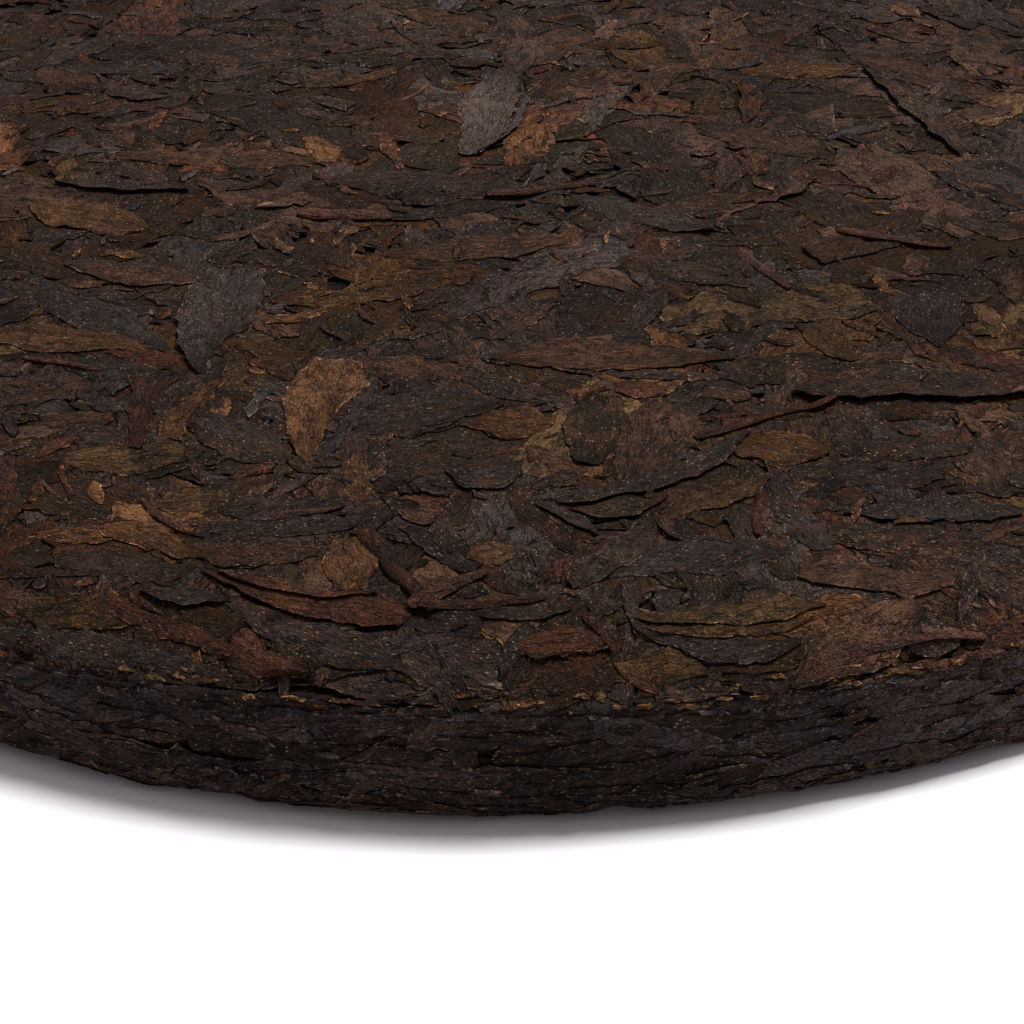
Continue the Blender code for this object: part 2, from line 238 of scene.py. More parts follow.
def read(heights, part, bed, x, y):
    """Heights at any places in a window of the bed, between its cells."""
    i = np.clip(bed.index(x) - part[1].start, 0, heights.shape[1] - 1.001)
    j = np.clip(bed.index(y) - part[0].start, 0, heights.shape[0] - 1.001)
    left, low = i.astype(int), j.astype(int)
    i, j = i - left, j - low
    lower = heights[low, left] * (1 - i) + heights[low, left + 1] * i
    upper = heights[low + 1, left] * (1 - i) + heights[low + 1, left + 1] * i
    return lower * (1 - j) + upper * j


# %% [markdown]
# ## A leaf
#
# A pressed tea leaf is a torn flake: two long sides that run straight between a few corners, with small
# tears in them, and ends that come to a point or are broken off. It has wrinkles and sometimes a midrib
# along it, is a little cockled, and here and there a side or a tip has lifted. Each is a closed solid:
# a fine sheet on top, its thickness at the edge, and a coarse sheet below that nobody sees.

# %% What says how a leaf lies, and what gives it its own shape
LEAF_FACTS = "kind x y length width turn bend rise sides slants way tone"
Leaf = namedtuple("Leaf", LEAF_FACTS, defaults=((0, 0), None, None))
TEARS = ((0.22, 2.4, 7), (0.12, 0.9, 9), (0.04, 0.4, 13))
LEAST_REACH = 0.12
LIFT_FROM = 0.45
END_LIFT = 1.3


def ramp(value, low, high):
    """0 below low, 1 above high, and a smooth step between."""
    share = np.clip((value - low) / (high - low), 0, 1)
    return share * share * (3 - 2 * share)


class Blade:
    """The outline and the relief of one leaf in its own frame: u along it and v across, from -1 to 1."""

    def __init__(self, leaf, draw):
        self.leaf = leaf
        self.seed = draw.uniform(0, 90)
        self.thickness = draw.uniform(0.09, 0.20)
        relief = 1.0 if leaf.way is None else 0.6
        self.rib = relief * draw.uniform(0.10, 0.25) * (draw.random() < 0.3)
        self.crease = relief * draw.uniform(0.10, 0.32)
        self.crumple = relief * draw.uniform(0.06, 0.20)
        self.cockle = relief * draw.uniform(0.08, 0.32)
        lifts = np.clip(draw.exponential(0.16, 4) - 0.28, 0, 0.9)
        self.low_rise, self.high_rise, self.start_rise, self.end_rise = lifts
        self.low_rise += leaf.rise

    def middle(self, u):
        """Where the middle line is across the leaf."""
        curve = self.leaf.bend * self.leaf.length * (1 - u * u)
        return curve + 0.05 * self.leaf.width * waver(2.0 * u, 0 * u, self.seed)

    def reaches(self, u):
        """How far the low and the high side are from the middle line."""
        found = []
        for side, corners in enumerate(self.leaf.sides):
            straight = np.interp(u, np.linspace(-1, 1, len(corners)), corners) * self.leaf.width / 2
            torn = 0
            for depth, length, apart in TEARS:
                torn = torn + depth * waver(u * self.leaf.length / length, 0 * u, self.seed + apart * side)
            found.append(np.maximum(straight + torn * np.minimum(straight, 1.0), LEAST_REACH))
        return found

    def place(self, u, v):
        """Along and across, in millimetres, of a point of the leaf."""
        low, high = self.reaches(u)
        across = v * np.where(v > 0, high, low)
        slant = np.where(u > 0, self.leaf.slants[1], self.leaf.slants[0]) * across * u ** 4
        ragged = 0.30 * waver(across / 0.9, 0 * v, self.seed + 3) * u ** 4
        return u * self.leaf.length / 2 + slant + ragged, self.middle(u) + across

    def share(self, along, across):
        """u and v of any place in the leaf's frame."""
        u = np.clip(along / (self.leaf.length / 2), -1, 1)
        off = across - self.middle(u)
        slant = np.where(u > 0, self.leaf.slants[1], self.leaf.slants[0]) * off * u ** 4
        low, high = self.reaches(u)
        return (along - slant) / (self.leaf.length / 2), off / np.where(off > 0, high, low)

    def edge(self, u, v):
        """How far a point is from the leaf's edge, in millimetres."""
        low, high = self.reaches(u)
        from_side = (1 - np.abs(v)) * np.where(v > 0, high, low)
        return np.minimum(from_side, (1 - np.abs(u)) * self.leaf.length / 2)

    def relief(self, u, v):
        """How far the leaf's own shape stands over what it is draped on."""
        along, across = u * self.leaf.length / 2, v * self.leaf.width / 2
        shape = 0.05 - self.crease * (1 - np.abs(waver(along / 5, across / 1.5, self.seed))) ** 5
        shape = shape + self.crumple * waver(along / 1.6, across / 0.9, self.seed + 5)
        shape = shape + self.cockle * waver(along / 4.5, across / 3, self.seed + 11)
        shape = shape + self.rib * np.exp(-(v / 0.13) ** 2) * (1 - u ** 4)
        for amount, where in (
            (self.low_rise, -v), (self.high_rise, v),
            (END_LIFT * self.start_rise, -u), (END_LIFT * self.end_rise, u),
        ):
            shape = shape + amount * np.clip((where - LIFT_FROM) / (1 - LIFT_FROM), 0, 1) ** 2
        return shape


# %% From a leaf's own frame to the map and back
def to_map(leaf, along, across):
    """Places on the map: the leaf lies straight, or along the rim at its own way from the crown."""
    turn = math.radians(leaf.turn)
    a = along * math.cos(turn) - across * math.sin(turn)
    b = along * math.sin(turn) + across * math.cos(turn)
    if leaf.way is None:
        return leaf.x + a, leaf.y + b
    angle, way = math.atan2(leaf.y, leaf.x) + a / CAKE_RADIUS, leaf.way - b
    return way * np.cos(angle), way * np.sin(angle)


def to_leaf(leaf, map_x, map_y):
    """The opposite of to_map."""
    turn = math.radians(leaf.turn)
    if leaf.way is None:
        a, b = map_x - leaf.x, map_y - leaf.y
    else:
        angle = np.arctan2(map_y, map_x) - math.atan2(leaf.y, leaf.x)
        a = (np.mod(angle + math.pi, 2 * math.pi) - math.pi) * CAKE_RADIUS
        b = leaf.way - np.hypot(map_x, map_y)
    return a * math.cos(turn) + b * math.sin(turn), -a * math.sin(turn) + b * math.cos(turn)


# %% Laying a leaf
STUCK = 0.8
Laid = namedtuple("Laid", "kind x y top thickness facts")


def lay_leaf(bed, leaf, draw, spacing, softness=1):
    """Lays a leaf on the bed: raises the bed, and returns the leaf's top as a grid of points on the map."""
    blade = Blade(leaf, draw)
    middle_x, middle_y = to_map(leaf, 0.0, 0.0)
    half = max(leaf.length / 2 + abs(leaf.bend) * leaf.length, leaf.width / 2) + 1.5
    part, cell_x, cell_y = bed.window(float(middle_x), float(middle_y), half)
    high, level = bed.drape(part, softness)

    def top(under_high, under_level, u, v):
        loose = ramp(blade.edge(u, v), 0, STUCK)
        return under_level + (under_high - under_level) * loose + blade.thickness + blade.relief(u, v)

    u, v = blade.share(*to_leaf(leaf, cell_x, cell_y))
    inside = (np.abs(u) <= 1) & (np.abs(v) <= 1)
    raised = top(high, level, np.clip(u, -1, 1), np.clip(v, -1, 1))
    bed.height[part] = np.where(inside, np.maximum(bed.height[part], raised), bed.height[part])

    stations = int(np.clip(round(leaf.length / (1.25 * spacing)), 3, 60)) + 1
    columns = int(np.clip(round(leaf.width / spacing), 2, 30)) + 1
    u, v = np.meshgrid(np.linspace(-1, 1, stations), np.linspace(-1, 1, columns), indexing="ij")
    x, y = to_map(leaf, *blade.place(u, v))
    tone = draw.uniform(0, 0.85) if leaf.tone is None else leaf.tone
    facts = {
        "along": u * leaf.length / 2, "across": v * leaf.width / 2, "edge": blade.edge(u, v),
        "tone": np.full_like(u, tone), "grain": np.full_like(u, draw.uniform(0, 50)),
    }
    height = top(read(high, part, bed, x, y), read(level, part, bed, x, y), u, v)
    return Laid(leaf.kind, x, y, height, blade.thickness, facts)


# %% Laying a twig
TWIG_UPPER = np.radians([180, 144, 108, 72, 36, 0])
TWIG_LOWER = np.radians([-36, -72, -108, -144])
TWIG_RAISED = 1.1


def lay_twig(bed, twig, draw, sink):
    """Lays a round twig: sinks it into the bed by a share of its thickness, and raises the bed."""
    seed = draw.uniform(0, 90)
    part, cell_x, cell_y = bed.window(twig.x, twig.y, twig.length / 2 + abs(twig.bend) * twig.length + 1.5)
    high, level = bed.drape(part, 2)
    stations = int(twig.length / 0.45) + 3

    def middle(u):
        return twig.bend * twig.length * (1 - u * u) + 0.25 * twig.width * waver(2 * u, 0 * u, seed)

    def half_width(u):
        knots = 1 + 0.10 * waver(u * twig.length / 2.2, 0 * u, seed + 3)
        return twig.width / 2 * knots * (1 - 0.25 * u) * (1 - 0.5 * u ** 10)

    u = np.linspace(-1, 1, stations)
    x, y = to_map(twig, u * twig.length / 2, middle(u))
    ease = np.ones(7) / 7
    resting = np.convolve(np.pad(read(high, part, bed, x, y), 3, mode="edge"), ease, mode="valid")
    centre = resting + twig.rise * (u + 1) / 2 - sink * twig.width

    around = np.append(TWIG_UPPER, TWIG_LOWER)
    ridges = 1 + 0.13 * np.cos(3 * around + seed) + 0.06 * np.cos(5 * around + seed)
    off = half_width(u)[:, None] * np.cos(around) * ridges
    up = half_width(u)[:, None] * np.sin(around) * ridges * TWIG_RAISED
    x, y = to_map(twig, (u * twig.length / 2)[:, None] + 0 * off, middle(u)[:, None] + off)
    across = np.broadcast_to(around * twig.width / 2, off.shape)
    facts = {
        "along": (u * twig.length / 2)[:, None] + 0 * off, "across": across, "edge": np.ones_like(off),
        "tone": np.full_like(off, draw.random()), "grain": np.full_like(off, draw.uniform(0, 50)),
    }

    along, beside = to_leaf(twig, cell_x, cell_y)
    cell_u = np.clip(along / (twig.length / 2), -1, 1)
    share = (beside - middle(cell_u)) / half_width(cell_u)
    inside = (np.abs(along) < twig.length / 2) & (np.abs(share) < 1)
    dome = np.sqrt(np.clip(1 - share ** 2, 0, 1)) * half_width(cell_u) * TWIG_RAISED
    raised = np.interp(cell_u, u, centre) + dome
    bed.height[part] = np.where(inside, np.maximum(bed.height[part], raised), bed.height[part])
    return Laid("twig", x, y, centre[:, None] + up, 0, facts)


# %% [markdown]
# ## Which leaves
#
# The photograph shows about a hundred leaves that anyone would know again, such as the pear-shaped tan
# one and the long dark one with its rolled edge. They are placed one by one, near the end, so that they
# lie on top. For each, a row gives its stem end and its tip, and how far it reaches to the right and to
# the left of the line between them at five places. The rest are drawn at random from the same kinds and
# sizes, on a sunflower spiral so that no place stays bare.

# %% The leaves that stand out
Outline = namedtuple("Outline", "kind start end right left bend rise tone", defaults=(0.0, 0.0, 0.5))
NAMED_LEAVES = (
    # The far part of the crown
    # The first slate leaf and the thin strip along its edge are toned pale as a painted sheen
    Outline("slate", (-4, -4), (0.5, 19),
            (1.5, 2.6, 3.0, 2.0, 0.4), (1.0, 2.0, 3.2, 3.0, 0.4), 0.0, 0.7, 0.9),
    Outline("slate", (-3.2, -4), (1.6, 16),
            (0.2, 0.6, 0.7, 0.6, 0.2), (0.1, 0.4, 0.4, 0.4, 0.1), -0.10, 1.0, 1.3),
    Outline("brown", (-41, -2.5), (-20, -5), (0.6, 2.0, 2.6, 2.2, 1.0), (0.6, 2.0, 2.4, 2.0, 0.8)),
    Outline("olive", (-18.5, 14), (-12, 18.6), (0.6, 1.2, 1.8, 1.6, 0.8), (0.4, 1.4, 1.6, 1.4, 0.6)),
    Outline("tan", (25.5, 18.2), (38, 20.6), (0.8, 2.0, 2.2, 2.0, 0.8), (0.8, 1.8, 2.4, 2.0, 1.0)),
    Outline("charcoal", (39, 20.5), (47.5, -1.5),
            (0.4, 1.6, 1.8, 1.5, 0.3), (0.5, 1.6, 2.0, 1.6, 0.3), 0.04, 1.2),
    Outline("tan", (-49, -13), (-36.5, -19.5), (1.0, 3.0, 3.4, 3.0, 1.0), (1.0, 2.6, 3.0, 2.4, 0.6)),
    Outline("umber", (-47, -8), (-33, -11.6), (0.6, 1.4, 1.6, 1.2, 0.3), (0.6, 1.6, 1.8, 1.6, 0.3), 0.0, 1.3),
    Outline("brown", (20, 3), (34, -3), (1.0, 2.2, 2.8, 2.0, 0.6), (1.0, 2.4, 2.6, 2.0, 0.8)),
    Outline("umber", (-18, -10), (2, -12.5), (1.0, 2.6, 3.0, 2.2, 0.6), (1.0, 2.6, 2.8, 2.2, 0.6)),
    Outline("slate", (6, -14), (21, -21), (1.0, 2.4, 2.8, 2.0, 0.4), (1.0, 2.2, 3.0, 2.2, 0.8)),
    Outline("brown", (-12, -27), (6, -24), (0.6, 2.0, 2.6, 2.2, 0.8), (0.6, 2.0, 2.4, 2.0, 0.6)),
    Outline("brown", (-44, -27), (-28, -31.5), (0.6, 1.6, 2.2, 1.8, 0.6), (0.6, 1.8, 2.0, 1.6, 0.6)),
    Outline("slate", (40, -33.5), (42, -43.3), (3.0, 3.4, 2.8, 1.8, 0.3), (5.0, 4.5, 3.6, 2.4, 0.3)),
    Outline("umber", (12, -27), (24, -33), (0.6, 1.6, 2.2, 1.8, 0.6), (0.6, 1.8, 2.0, 1.6, 0.6)),
    # From the crown to the sharp band, on the left
    Outline("slate", (-46, -32.5), (-32.6, -45),
            (1.2, 2.0, 2.6, 1.8, 0.4), (1.6, 3.2, 3.6, 2.4, 0.4), 0.0, 0.2),
    Outline("tan", (-49, -39.3), (-33.4, -45.4), (1.8, 3.0, 2.4, 1.2, 0.3), (0.8, 1.6, 1.9, 1.4, 0.3), 0.03),
    Outline("russet", (-38.5, -44.2), (-30.2, -48.6), (0.3, 0.9, 1.2, 0.8, 0.2), (0.4, 0.9, 1.2, 1.2, 0.3)),
    Outline("charcoal", (-42.5, -46), (-31, -50), (0.6, 2.0, 2.4, 1.4, 0.5), (0.6, 1.4, 1.4, 1.0, 0.4)),
    Outline("olive", (-40.6, -63.4), (-29.6, -63.4), (1.0, 2.4, 3.0, 2.6, 1.2), (1.2, 2.4, 2.8, 3.4, 1.6)),
    Outline("charcoal", (-28.6, -57), (-19.9, -65), (1.4, 3.0, 3.4, 2.6, 0.9), (1.0, 2.0, 2.3, 2.0, 0.8)),
    Outline("brown", (-44, -56), (-37, -57), (0.8, 1.6, 1.8, 1.4, 0.6), (0.6, 1.2, 1.4, 1.2, 0.6)),
    Outline("charcoal", (-41, -58), (-35.5, -61), (1.0, 2.0, 2.2, 1.6, 0.6), (0.8, 1.4, 1.6, 1.4, 0.4)),
    Outline("russet", (-43.5, -63.2), (-40.3, -59.2), (0.3, 0.8, 1.0, 1.0, 0.5), (0.3, 0.6, 0.8, 0.8, 0.5)),
    Outline("tan", (-27.4, -50.8), (-31.4, -60.6),
            (0.6, 0.8, 1.2, 2.0, 1.0), (0.7, 1.0, 0.8, 1.0, 1.2), -0.05),
    Outline("slate", (-40.3, -51.2), (-35.6, -57.4), (0.6, 0.9, 1.1, 0.9, 0.4), (0.6, 1.0, 1.3, 1.2, 0.5)),
    Outline("russet", (-33.6, -49.6), (-34.4, -61.7),
            (2.3, 1.7, 1.8, 1.1, 0.5), (3.0, 0.9, 0.6, 0.8, 0.7), 0.0, 0.2),
    Outline("slate", (-24.8, -50.6), (-20.8, -53.6), (0.4, 0.8, 0.9, 0.7, 0.2), (0.4, 0.8, 0.9, 0.7, 0.2)),
    Outline("russet", (-24.4, -47.2), (-20.4, -50.9), (0.4, 0.7, 0.7, 0.6, 0.2), (0.4, 0.7, 0.8, 0.6, 0.2)),
    Outline("slate", (-26.6, -29), (-29.2, -49.9),
            (2.5, 4.4, 4.5, 2.8, 0.2), (2.6, 3.6, 2.9, 0.9, 0.2), 0.0, 1.0),
    Outline("tan", (-23.4, -40.3), (-14, -36.2), (0.3, 0.8, 0.8, 0.6, 0.2), (0.3, 0.6, 0.8, 0.6, 0.2)),
    # The sharp band, in the middle
    Outline("charcoal", (-15.2, -59.2), (-0.2, -55.4), (1.2, 2.0, 2.4, 1.8, 0.2), (0.6, 4.6, 4.8, 3.0, 0.4)),
    Outline("brown", (-14.2, -47.4), (-3.6, -50.4), (1.4, 2.0, 2.0, 1.8, 0.8), (1.2, 1.6, 1.9, 1.6, 0.8)),
    Outline("umber", (-4.6, -50.4), (6.6, -55.8), (0.5, 1.6, 1.8, 1.4, 0.7), (0.9, 1.5, 1.4, 1.3, 0.8)),
    Outline("slate", (-12.2, -51.2), (-17.4, -65.2),
            (0.6, 1.0, 1.0, 0.8, 0.3), (0.4, 0.8, 0.9, 0.9, 0.3), 0.02),
    Outline("tan", (-16.8, -47.2), (-18.2, -65.0),
            (1.6, 3.6, 3.3, 2.3, 0.3), (2.6, 4.2, 1.6, 0.9, 0.3), 0.0, 0.1, 0.7),
    Outline("tan", (-3.1, -58.8), (4.3, -59.2),
            (0.8, 2.0, 2.5, 2.2, 0.8), (0.8, 2.4, 3.2, 2.8, 1.0), 0.0, 0.1, 0.3),
    Outline("charcoal", (-5.4, -66.2), (1.6, -66.2),
            (1.4, 3.0, 3.8, 3.6, 1.6), (1.0, 1.4, 1.6, 1.6, 1.0), 0.0, 0.5),
    Outline("tan", (-13.8, -65), (-13.2, -72.3), (0.9, 1.2, 1.2, 1.1, 0.2), (1.3, 1.5, 1.9, 1.2, 0.2)),
    Outline("umber", (-26, -72.2), (-14.4, -72.8), (0.9, 2.0, 2.2, 1.9, 1.2), (0.9, 1.8, 2.0, 2.0, 1.2)),
    Outline("umber", (-22.8, -74.2), (-14.8, -73),
            (0.3, 0.6, 0.7, 0.6, 0.3), (0.3, 0.5, 0.6, 0.5, 0.3), 0.03, 0.5),
    Outline("olive", (-31.5, -71.4), (-25.4, -71), (0.9, 2.0, 2.4, 1.9, 0.9), (0.9, 2.0, 2.4, 2.1, 0.9)),
    Outline("russet", (-25.6, -67.4), (-21.4, -65.6), (0.2, 0.5, 0.6, 0.5, 0.2), (0.2, 0.5, 0.6, 0.5, 0.2)),
    Outline("brown", (-1.6, -44), (4.6, -36.8), (0.4, 1.1, 1.3, 1.0, 0.4), (0.4, 1.0, 1.2, 1.0, 0.3)),
    Outline("slate", (15.2, -34.5), (12.3, -42), (0.6, 1.1, 1.4, 1.2, 0.3), (0.8, 1.4, 1.6, 1.1, 0.3)),
    Outline("charcoal", (4.6, -49.4), (21.6, -50.4), (0.3, 0.8, 1.0, 1.1, 0.3), (0.3, 0.8, 0.9, 0.8, 0.4)),
    Outline("brown", (-1.6, -47.2), (22, -47.6),
            (0.6, 2.2, 2.2, 1.6, 0.4), (0.5, 3.8, 3.3, 2.2, 0.4), 0.0, 0.3, 0.45),
    Outline("russet", (10.2, -52.6), (15.2, -53), (0.6, 1.4, 1.8, 1.4, 0.5), (0.6, 1.4, 1.6, 1.2, 0.5)),
    Outline("brown", (14.8, -54.8), (12.2, -68.2),
            (1.5, 2.4, 2.6, 3.0, 1.6), (1.6, 5.0, 4.6, 2.9, 1.2), 0.0, 0.1, 0.5),
    Outline("charcoal", (9.2, -53.9), (7.6, -66.1),
            (1.4, 2.7, 3.2, 2.6, 1.1), (1.6, 2.7, 2.9, 1.8, 0.8), 0.0, 0.4, -0.15),
    # The sharp band, on the right
    Outline("olive", (29, -40), (33.6, -47), (1.0, 1.8, 2.0, 1.6, 0.5), (1.2, 2.4, 2.6, 1.8, 0.6)),
    Outline("russet", (42, -43.8), (50, -46.8), (0.6, 1.6, 1.8, 1.6, 0.8), (0.4, 1.2, 1.6, 1.6, 1.0)),
    Outline("brown", (31.2, -54.6), (33.4, -62.2), (0.8, 1.4, 1.8, 1.8, 0.8), (1.2, 1.9, 1.9, 1.5, 0.6)),
    Outline("brown", (43.5, -59.5), (45.6, -68.2), (1.4, 2.4, 2.8, 2.4, 1.0), (1.2, 2.2, 2.6, 2.2, 1.0)),
    Outline("charcoal", (31, -62.6), (43.4, -62), (1.0, 1.8, 2.0, 1.6, 0.4), (0.8, 1.4, 1.8, 1.6, 0.4)),
    Outline("umber", (30, -66.6), (40.5, -66.4), (1.2, 2.4, 2.8, 2.0, 0.8), (1.0, 1.6, 1.8, 1.6, 0.8)),
    Outline("tan", (21.4, -62.6), (30.4, -62.4), (1.5, 2.4, 4.4, 2.0, 0.6), (0.8, 1.6, 2.2, 2.4, 0.9)),
    Outline("charcoal", (26.2, -66.6), (31.2, -66), (0.8, 1.6, 1.8, 1.4, 0.6), (0.6, 1.2, 1.4, 1.2, 0.5)),
    Outline("charcoal", (27.4, -52.6), (50, -49.8),
            (0.3, 1.9, 2.6, 2.4, 1.6), (0.4, 3.4, 4.0, 2.8, 2.0), 0.0, 1.2),
    Outline("charcoal", (24.4, -68), (28.6, -79.2), (0.8, 1.8, 2.2, 1.8, 0.6), (0.8, 2.0, 2.2, 2.0, 0.8)),
    Outline("charcoal", (29.4, -76.2), (43.4, -77.4), (1.0, 2.4, 2.8, 2.4, 1.0), (0.8, 2.0, 2.4, 2.2, 1.0)),
    Outline("slate", (31, -72.8), (47.5, -71.6),
            (0.6, 1.7, 1.9, 1.7, 0.8), (0.4, 1.6, 2.0, 1.8, 0.8), 0.0, 0.6),
    # From the sharp band down to the shoulder, on the left
    Outline("slate", (-45.2, -86.6), (-25, -94.4), (0.6, 1.6, 2.0, 1.6, 0.5), (0.8, 1.8, 2.0, 1.7, 0.5)),
    Outline("charcoal", (-24.5, -87), (-8.8, -94.6), (0.4, 1.8, 2.4, 2.2, 0.6), (0.6, 1.6, 1.8, 1.6, 0.4)),
    Outline("brown", (-45.4, -83.4), (-39.8, -84.8), (0.5, 1.2, 1.4, 1.1, 0.5), (0.5, 1.1, 1.3, 1.0, 0.4)),
    Outline("umber", (-40.2, -79.4), (-27.4, -81.9), (0.9, 1.9, 2.6, 2.0, 0.4), (1.0, 1.8, 1.7, 1.3, 0.6)),
    Outline("tan", (-42.6, -75.2), (-34.8, -76), (0.7, 1.4, 1.6, 1.3, 0.6), (0.5, 1.2, 1.6, 1.4, 0.5)),
    Outline("tan", (-36.4, -74.6), (-26.6, -79.8),
            (0.8, 1.5, 1.7, 1.2, 0.4), (0.7, 2.4, 1.9, 1.1, 0.4), 0.0, 0.2),
    Outline("brown", (-27.6, -79.4), (-16.6, -79.8), (0.8, 1.9, 2.1, 1.7, 0.6), (0.7, 1.7, 1.7, 1.4, 0.5)),
    Outline("slate", (-26.6, -76), (-13.6, -75.2), (0.6, 1.3, 1.6, 1.5, 0.6), (0.7, 1.6, 1.8, 1.8, 0.7)),
    Outline("russet", (-35.2, -85.4), (-23.8, -92), (0.7, 1.4, 1.5, 1.2, 0.6), (0.5, 0.8, 0.9, 0.8, 0.3)),
    Outline("russet", (-23.8, -92.8), (-17.4, -94.3), (0.7, 1.2, 1.3, 1.0, 0.4), (0.6, 1.5, 1.6, 0.9, 0.3)),
    Outline("umber", (-32.2, -84.6), (-24.3, -86.5),
            (0.3, 1.2, 1.6, 1.2, 0.4), (0.5, 1.0, 1.3, 1.0, 0.3), 0.0, 0.7),
    Outline("tan", (-14.6, -77.3), (-13, -85.4), (1.2, 1.6, 2.5, 2.2, 0.6), (1.2, 2.2, 2.7, 1.8, 0.5)),
    Outline("brown", (-9.6, -73), (-6.4, -75), (0.4, 1.0, 1.3, 1.0, 0.4), (0.4, 1.0, 1.2, 1.0, 0.3)),
    Outline("russet", (-27, -82), (-8.6, -88.8),
            (0.3, 1.7, 2.7, 2.6, 1.6), (0.3, 0.9, 1.4, 2.1, 2.0), -0.02, 0.5),
    Outline("russet", (-25.4, -82.6), (-11.2, -85.8),
            (0.1, 0.5, 0.7, 0.6, 0.2), (0.1, 0.3, 0.5, 0.5, 0.1), -0.08, 0.7),
    Outline("russet", (-13.9, -76.2), (-11.7, -77.4),
            (0.4, 0.7, 0.8, 0.6, 0.3), (0.4, 0.6, 0.7, 0.6, 0.3), 0.0, 0.5, 1.0),
    Outline("russet", (-33.3, -84.2), (-30.3, -87.4),
            (0.3, 0.6, 0.6, 0.5, 0.3), (0.3, 0.5, 0.6, 0.5, 0.3), -0.06, 0.4),
    Outline("charcoal", (2.2, -89.8), (-0.4, -96),
            (0.3, 0.8, 0.9, 0.7, 0.1), (0.4, 0.8, 0.8, 0.5, 0.1), 0.0, 0.4),
    # From the sharp band down to the shoulder, in the middle and on the right
    Outline("umber", (-2.2, -88.8), (5.8, -88.2),
            (0.5, 1.1, 1.4, 1.1, 0.4), (0.4, 0.9, 1.2, 0.9, 0.3), 0.0, 0.3),
    Outline("russet", (0.9, -92.8), (9.5, -91.8), (0.8, 1.4, 1.6, 1.5, 0.6), (0.6, 1.3, 1.7, 1.4, 0.6)),
    Outline("tan", (-3.2, -80.6), (0.9, -79.2),
            (0.5, 1.5, 1.9, 1.5, 0.5), (0.7, 1.6, 1.9, 1.4, 0.5), 0.0, 0.2),
    Outline("charcoal", (3, -71.8), (8.4, -77.5),
            (0.5, 1.1, 1.1, 0.8, 0.2), (0.6, 1.3, 1.4, 0.9, 0.2), 0.05, 0.5),
    Outline("olive", (14.1, -73.8), (24.1, -67.5),
            (0.6, 1.3, 1.8, 1.6, 0.5), (0.7, 1.2, 1.1, 1.8, 0.8), -0.03, 0.2),
    Outline("brown", (5.8, -73), (14.9, -70.9),
            (0.3, 2.3, 2.7, 1.6, 0.3), (0.4, 0.6, 0.7, 0.5, 0.3), 0.0, 0.5),
    Outline("charcoal", (4.4, -72), (22.7, -60.1),
            (0.7, 1.3, 1.6, 1.6, 0.4), (0.6, 1.3, 1.6, 1.4, 0.3), -0.10, 0.8),
    Outline("brown", (26.2, -82.4), (40.2, -82.6),
            (1.4, 2.2, 2.3, 2.2, 1.1), (1.2, 2.8, 1.6, 1.0, 1.1), 0.0, 0.2),
    Outline("brown", (41, -81.4), (48.5, -82.6), (0.8, 1.6, 2.2, 2.0, 1.0), (0.8, 1.6, 1.8, 1.8, 1.0)),
    Outline("umber", (42.6, -79.4), (40.4, -86.7),
            (0.4, 0.7, 0.8, 0.7, 0.3), (0.4, 0.7, 0.8, 0.7, 0.3), 0.0, 0.4),
    Outline("olive", (33.4, -92.2), (41.4, -90.2), (0.3, 0.7, 0.8, 0.7, 0.3), (0.3, 0.7, 0.8, 0.6, 0.2)),
    Outline("slate", (11.2, -90.4), (26.2, -91),
            (0.6, 1.6, 2.4, 2.0, 0.4), (0.3, 0.7, 0.9, 0.8, 0.2), -0.07, 0.3),
    Outline("slate", (10.6, -84.4), (11.6, -91.6),
            (0.4, 0.6, 0.7, 0.6, 0.3), (0.4, 0.6, 0.7, 0.6, 0.3), 0.0, 0.5),
    Outline("olive", (12, -90.7), (27.6, -88.4),
            (0.3, 0.9, 1.1, 0.8, 0.1), (0.4, 0.7, 0.8, 0.8, 0.1), -0.05, 0.3),
    Outline("olive", (11.4, -89), (28.4, -87.1),
            (0.6, 1.3, 1.6, 1.4, 0.1), (0.8, 0.9, 1.2, 2.0, 0.2), -0.02, 0.3),
    Outline("brown", (25.2, -95), (37.4, -85.6),
            (0.4, 2.0, 2.8, 2.4, 0.5), (0.4, 2.6, 3.2, 2.6, 0.7), 0.0, 0.7, 0.7),
    Outline("slate", (35.6, -89.2), (40.4, -87.9),
            (0.9, 1.6, 1.8, 1.5, 0.8), (0.8, 1.5, 1.7, 1.4, 0.7), 0.0, 0.5, 0.5),
    Outline("tan", (9.5, -94.2), (13.2, -96.6),
            (0.3, 0.8, 1.0, 0.8, 0.3), (0.3, 0.8, 0.9, 0.7, 0.2), 0.0, 0.2),
    Outline("umber", (13.4, -73.9), (15.8, -78.2),
            (0.3, 0.6, 0.6, 0.5, 0.2), (0.3, 0.6, 0.6, 0.5, 0.2), 0.0, 0.5),
    Outline("umber", (13.7, -74.3), (6, -84.5),
            (0.5, 1.2, 1.4, 1.9, 1.2), (0.6, 1.4, 1.6, 1.2, 0.8), 0.06, 1.1),
    Outline("tan", (41.4, -65.8), (44.2, -68.2),
            (0.3, 0.6, 0.7, 0.6, 0.3), (0.3, 0.6, 0.7, 0.6, 0.3), 0.08, 0.3),
    Outline("tan", (35, -75), (38.8, -74.4), (0.2, 0.5, 0.6, 0.5, 0.2), (0.2, 0.6, 0.7, 0.5, 0.1), 0.06, 0.3),
    Outline("tan", (31.8, -74.9), (33, -70.9),
            (0.1, 0.4, 0.5, 0.4, 0.1), (0.1, 0.4, 0.5, 0.4, 0.1), 0.06, 0.4),
)
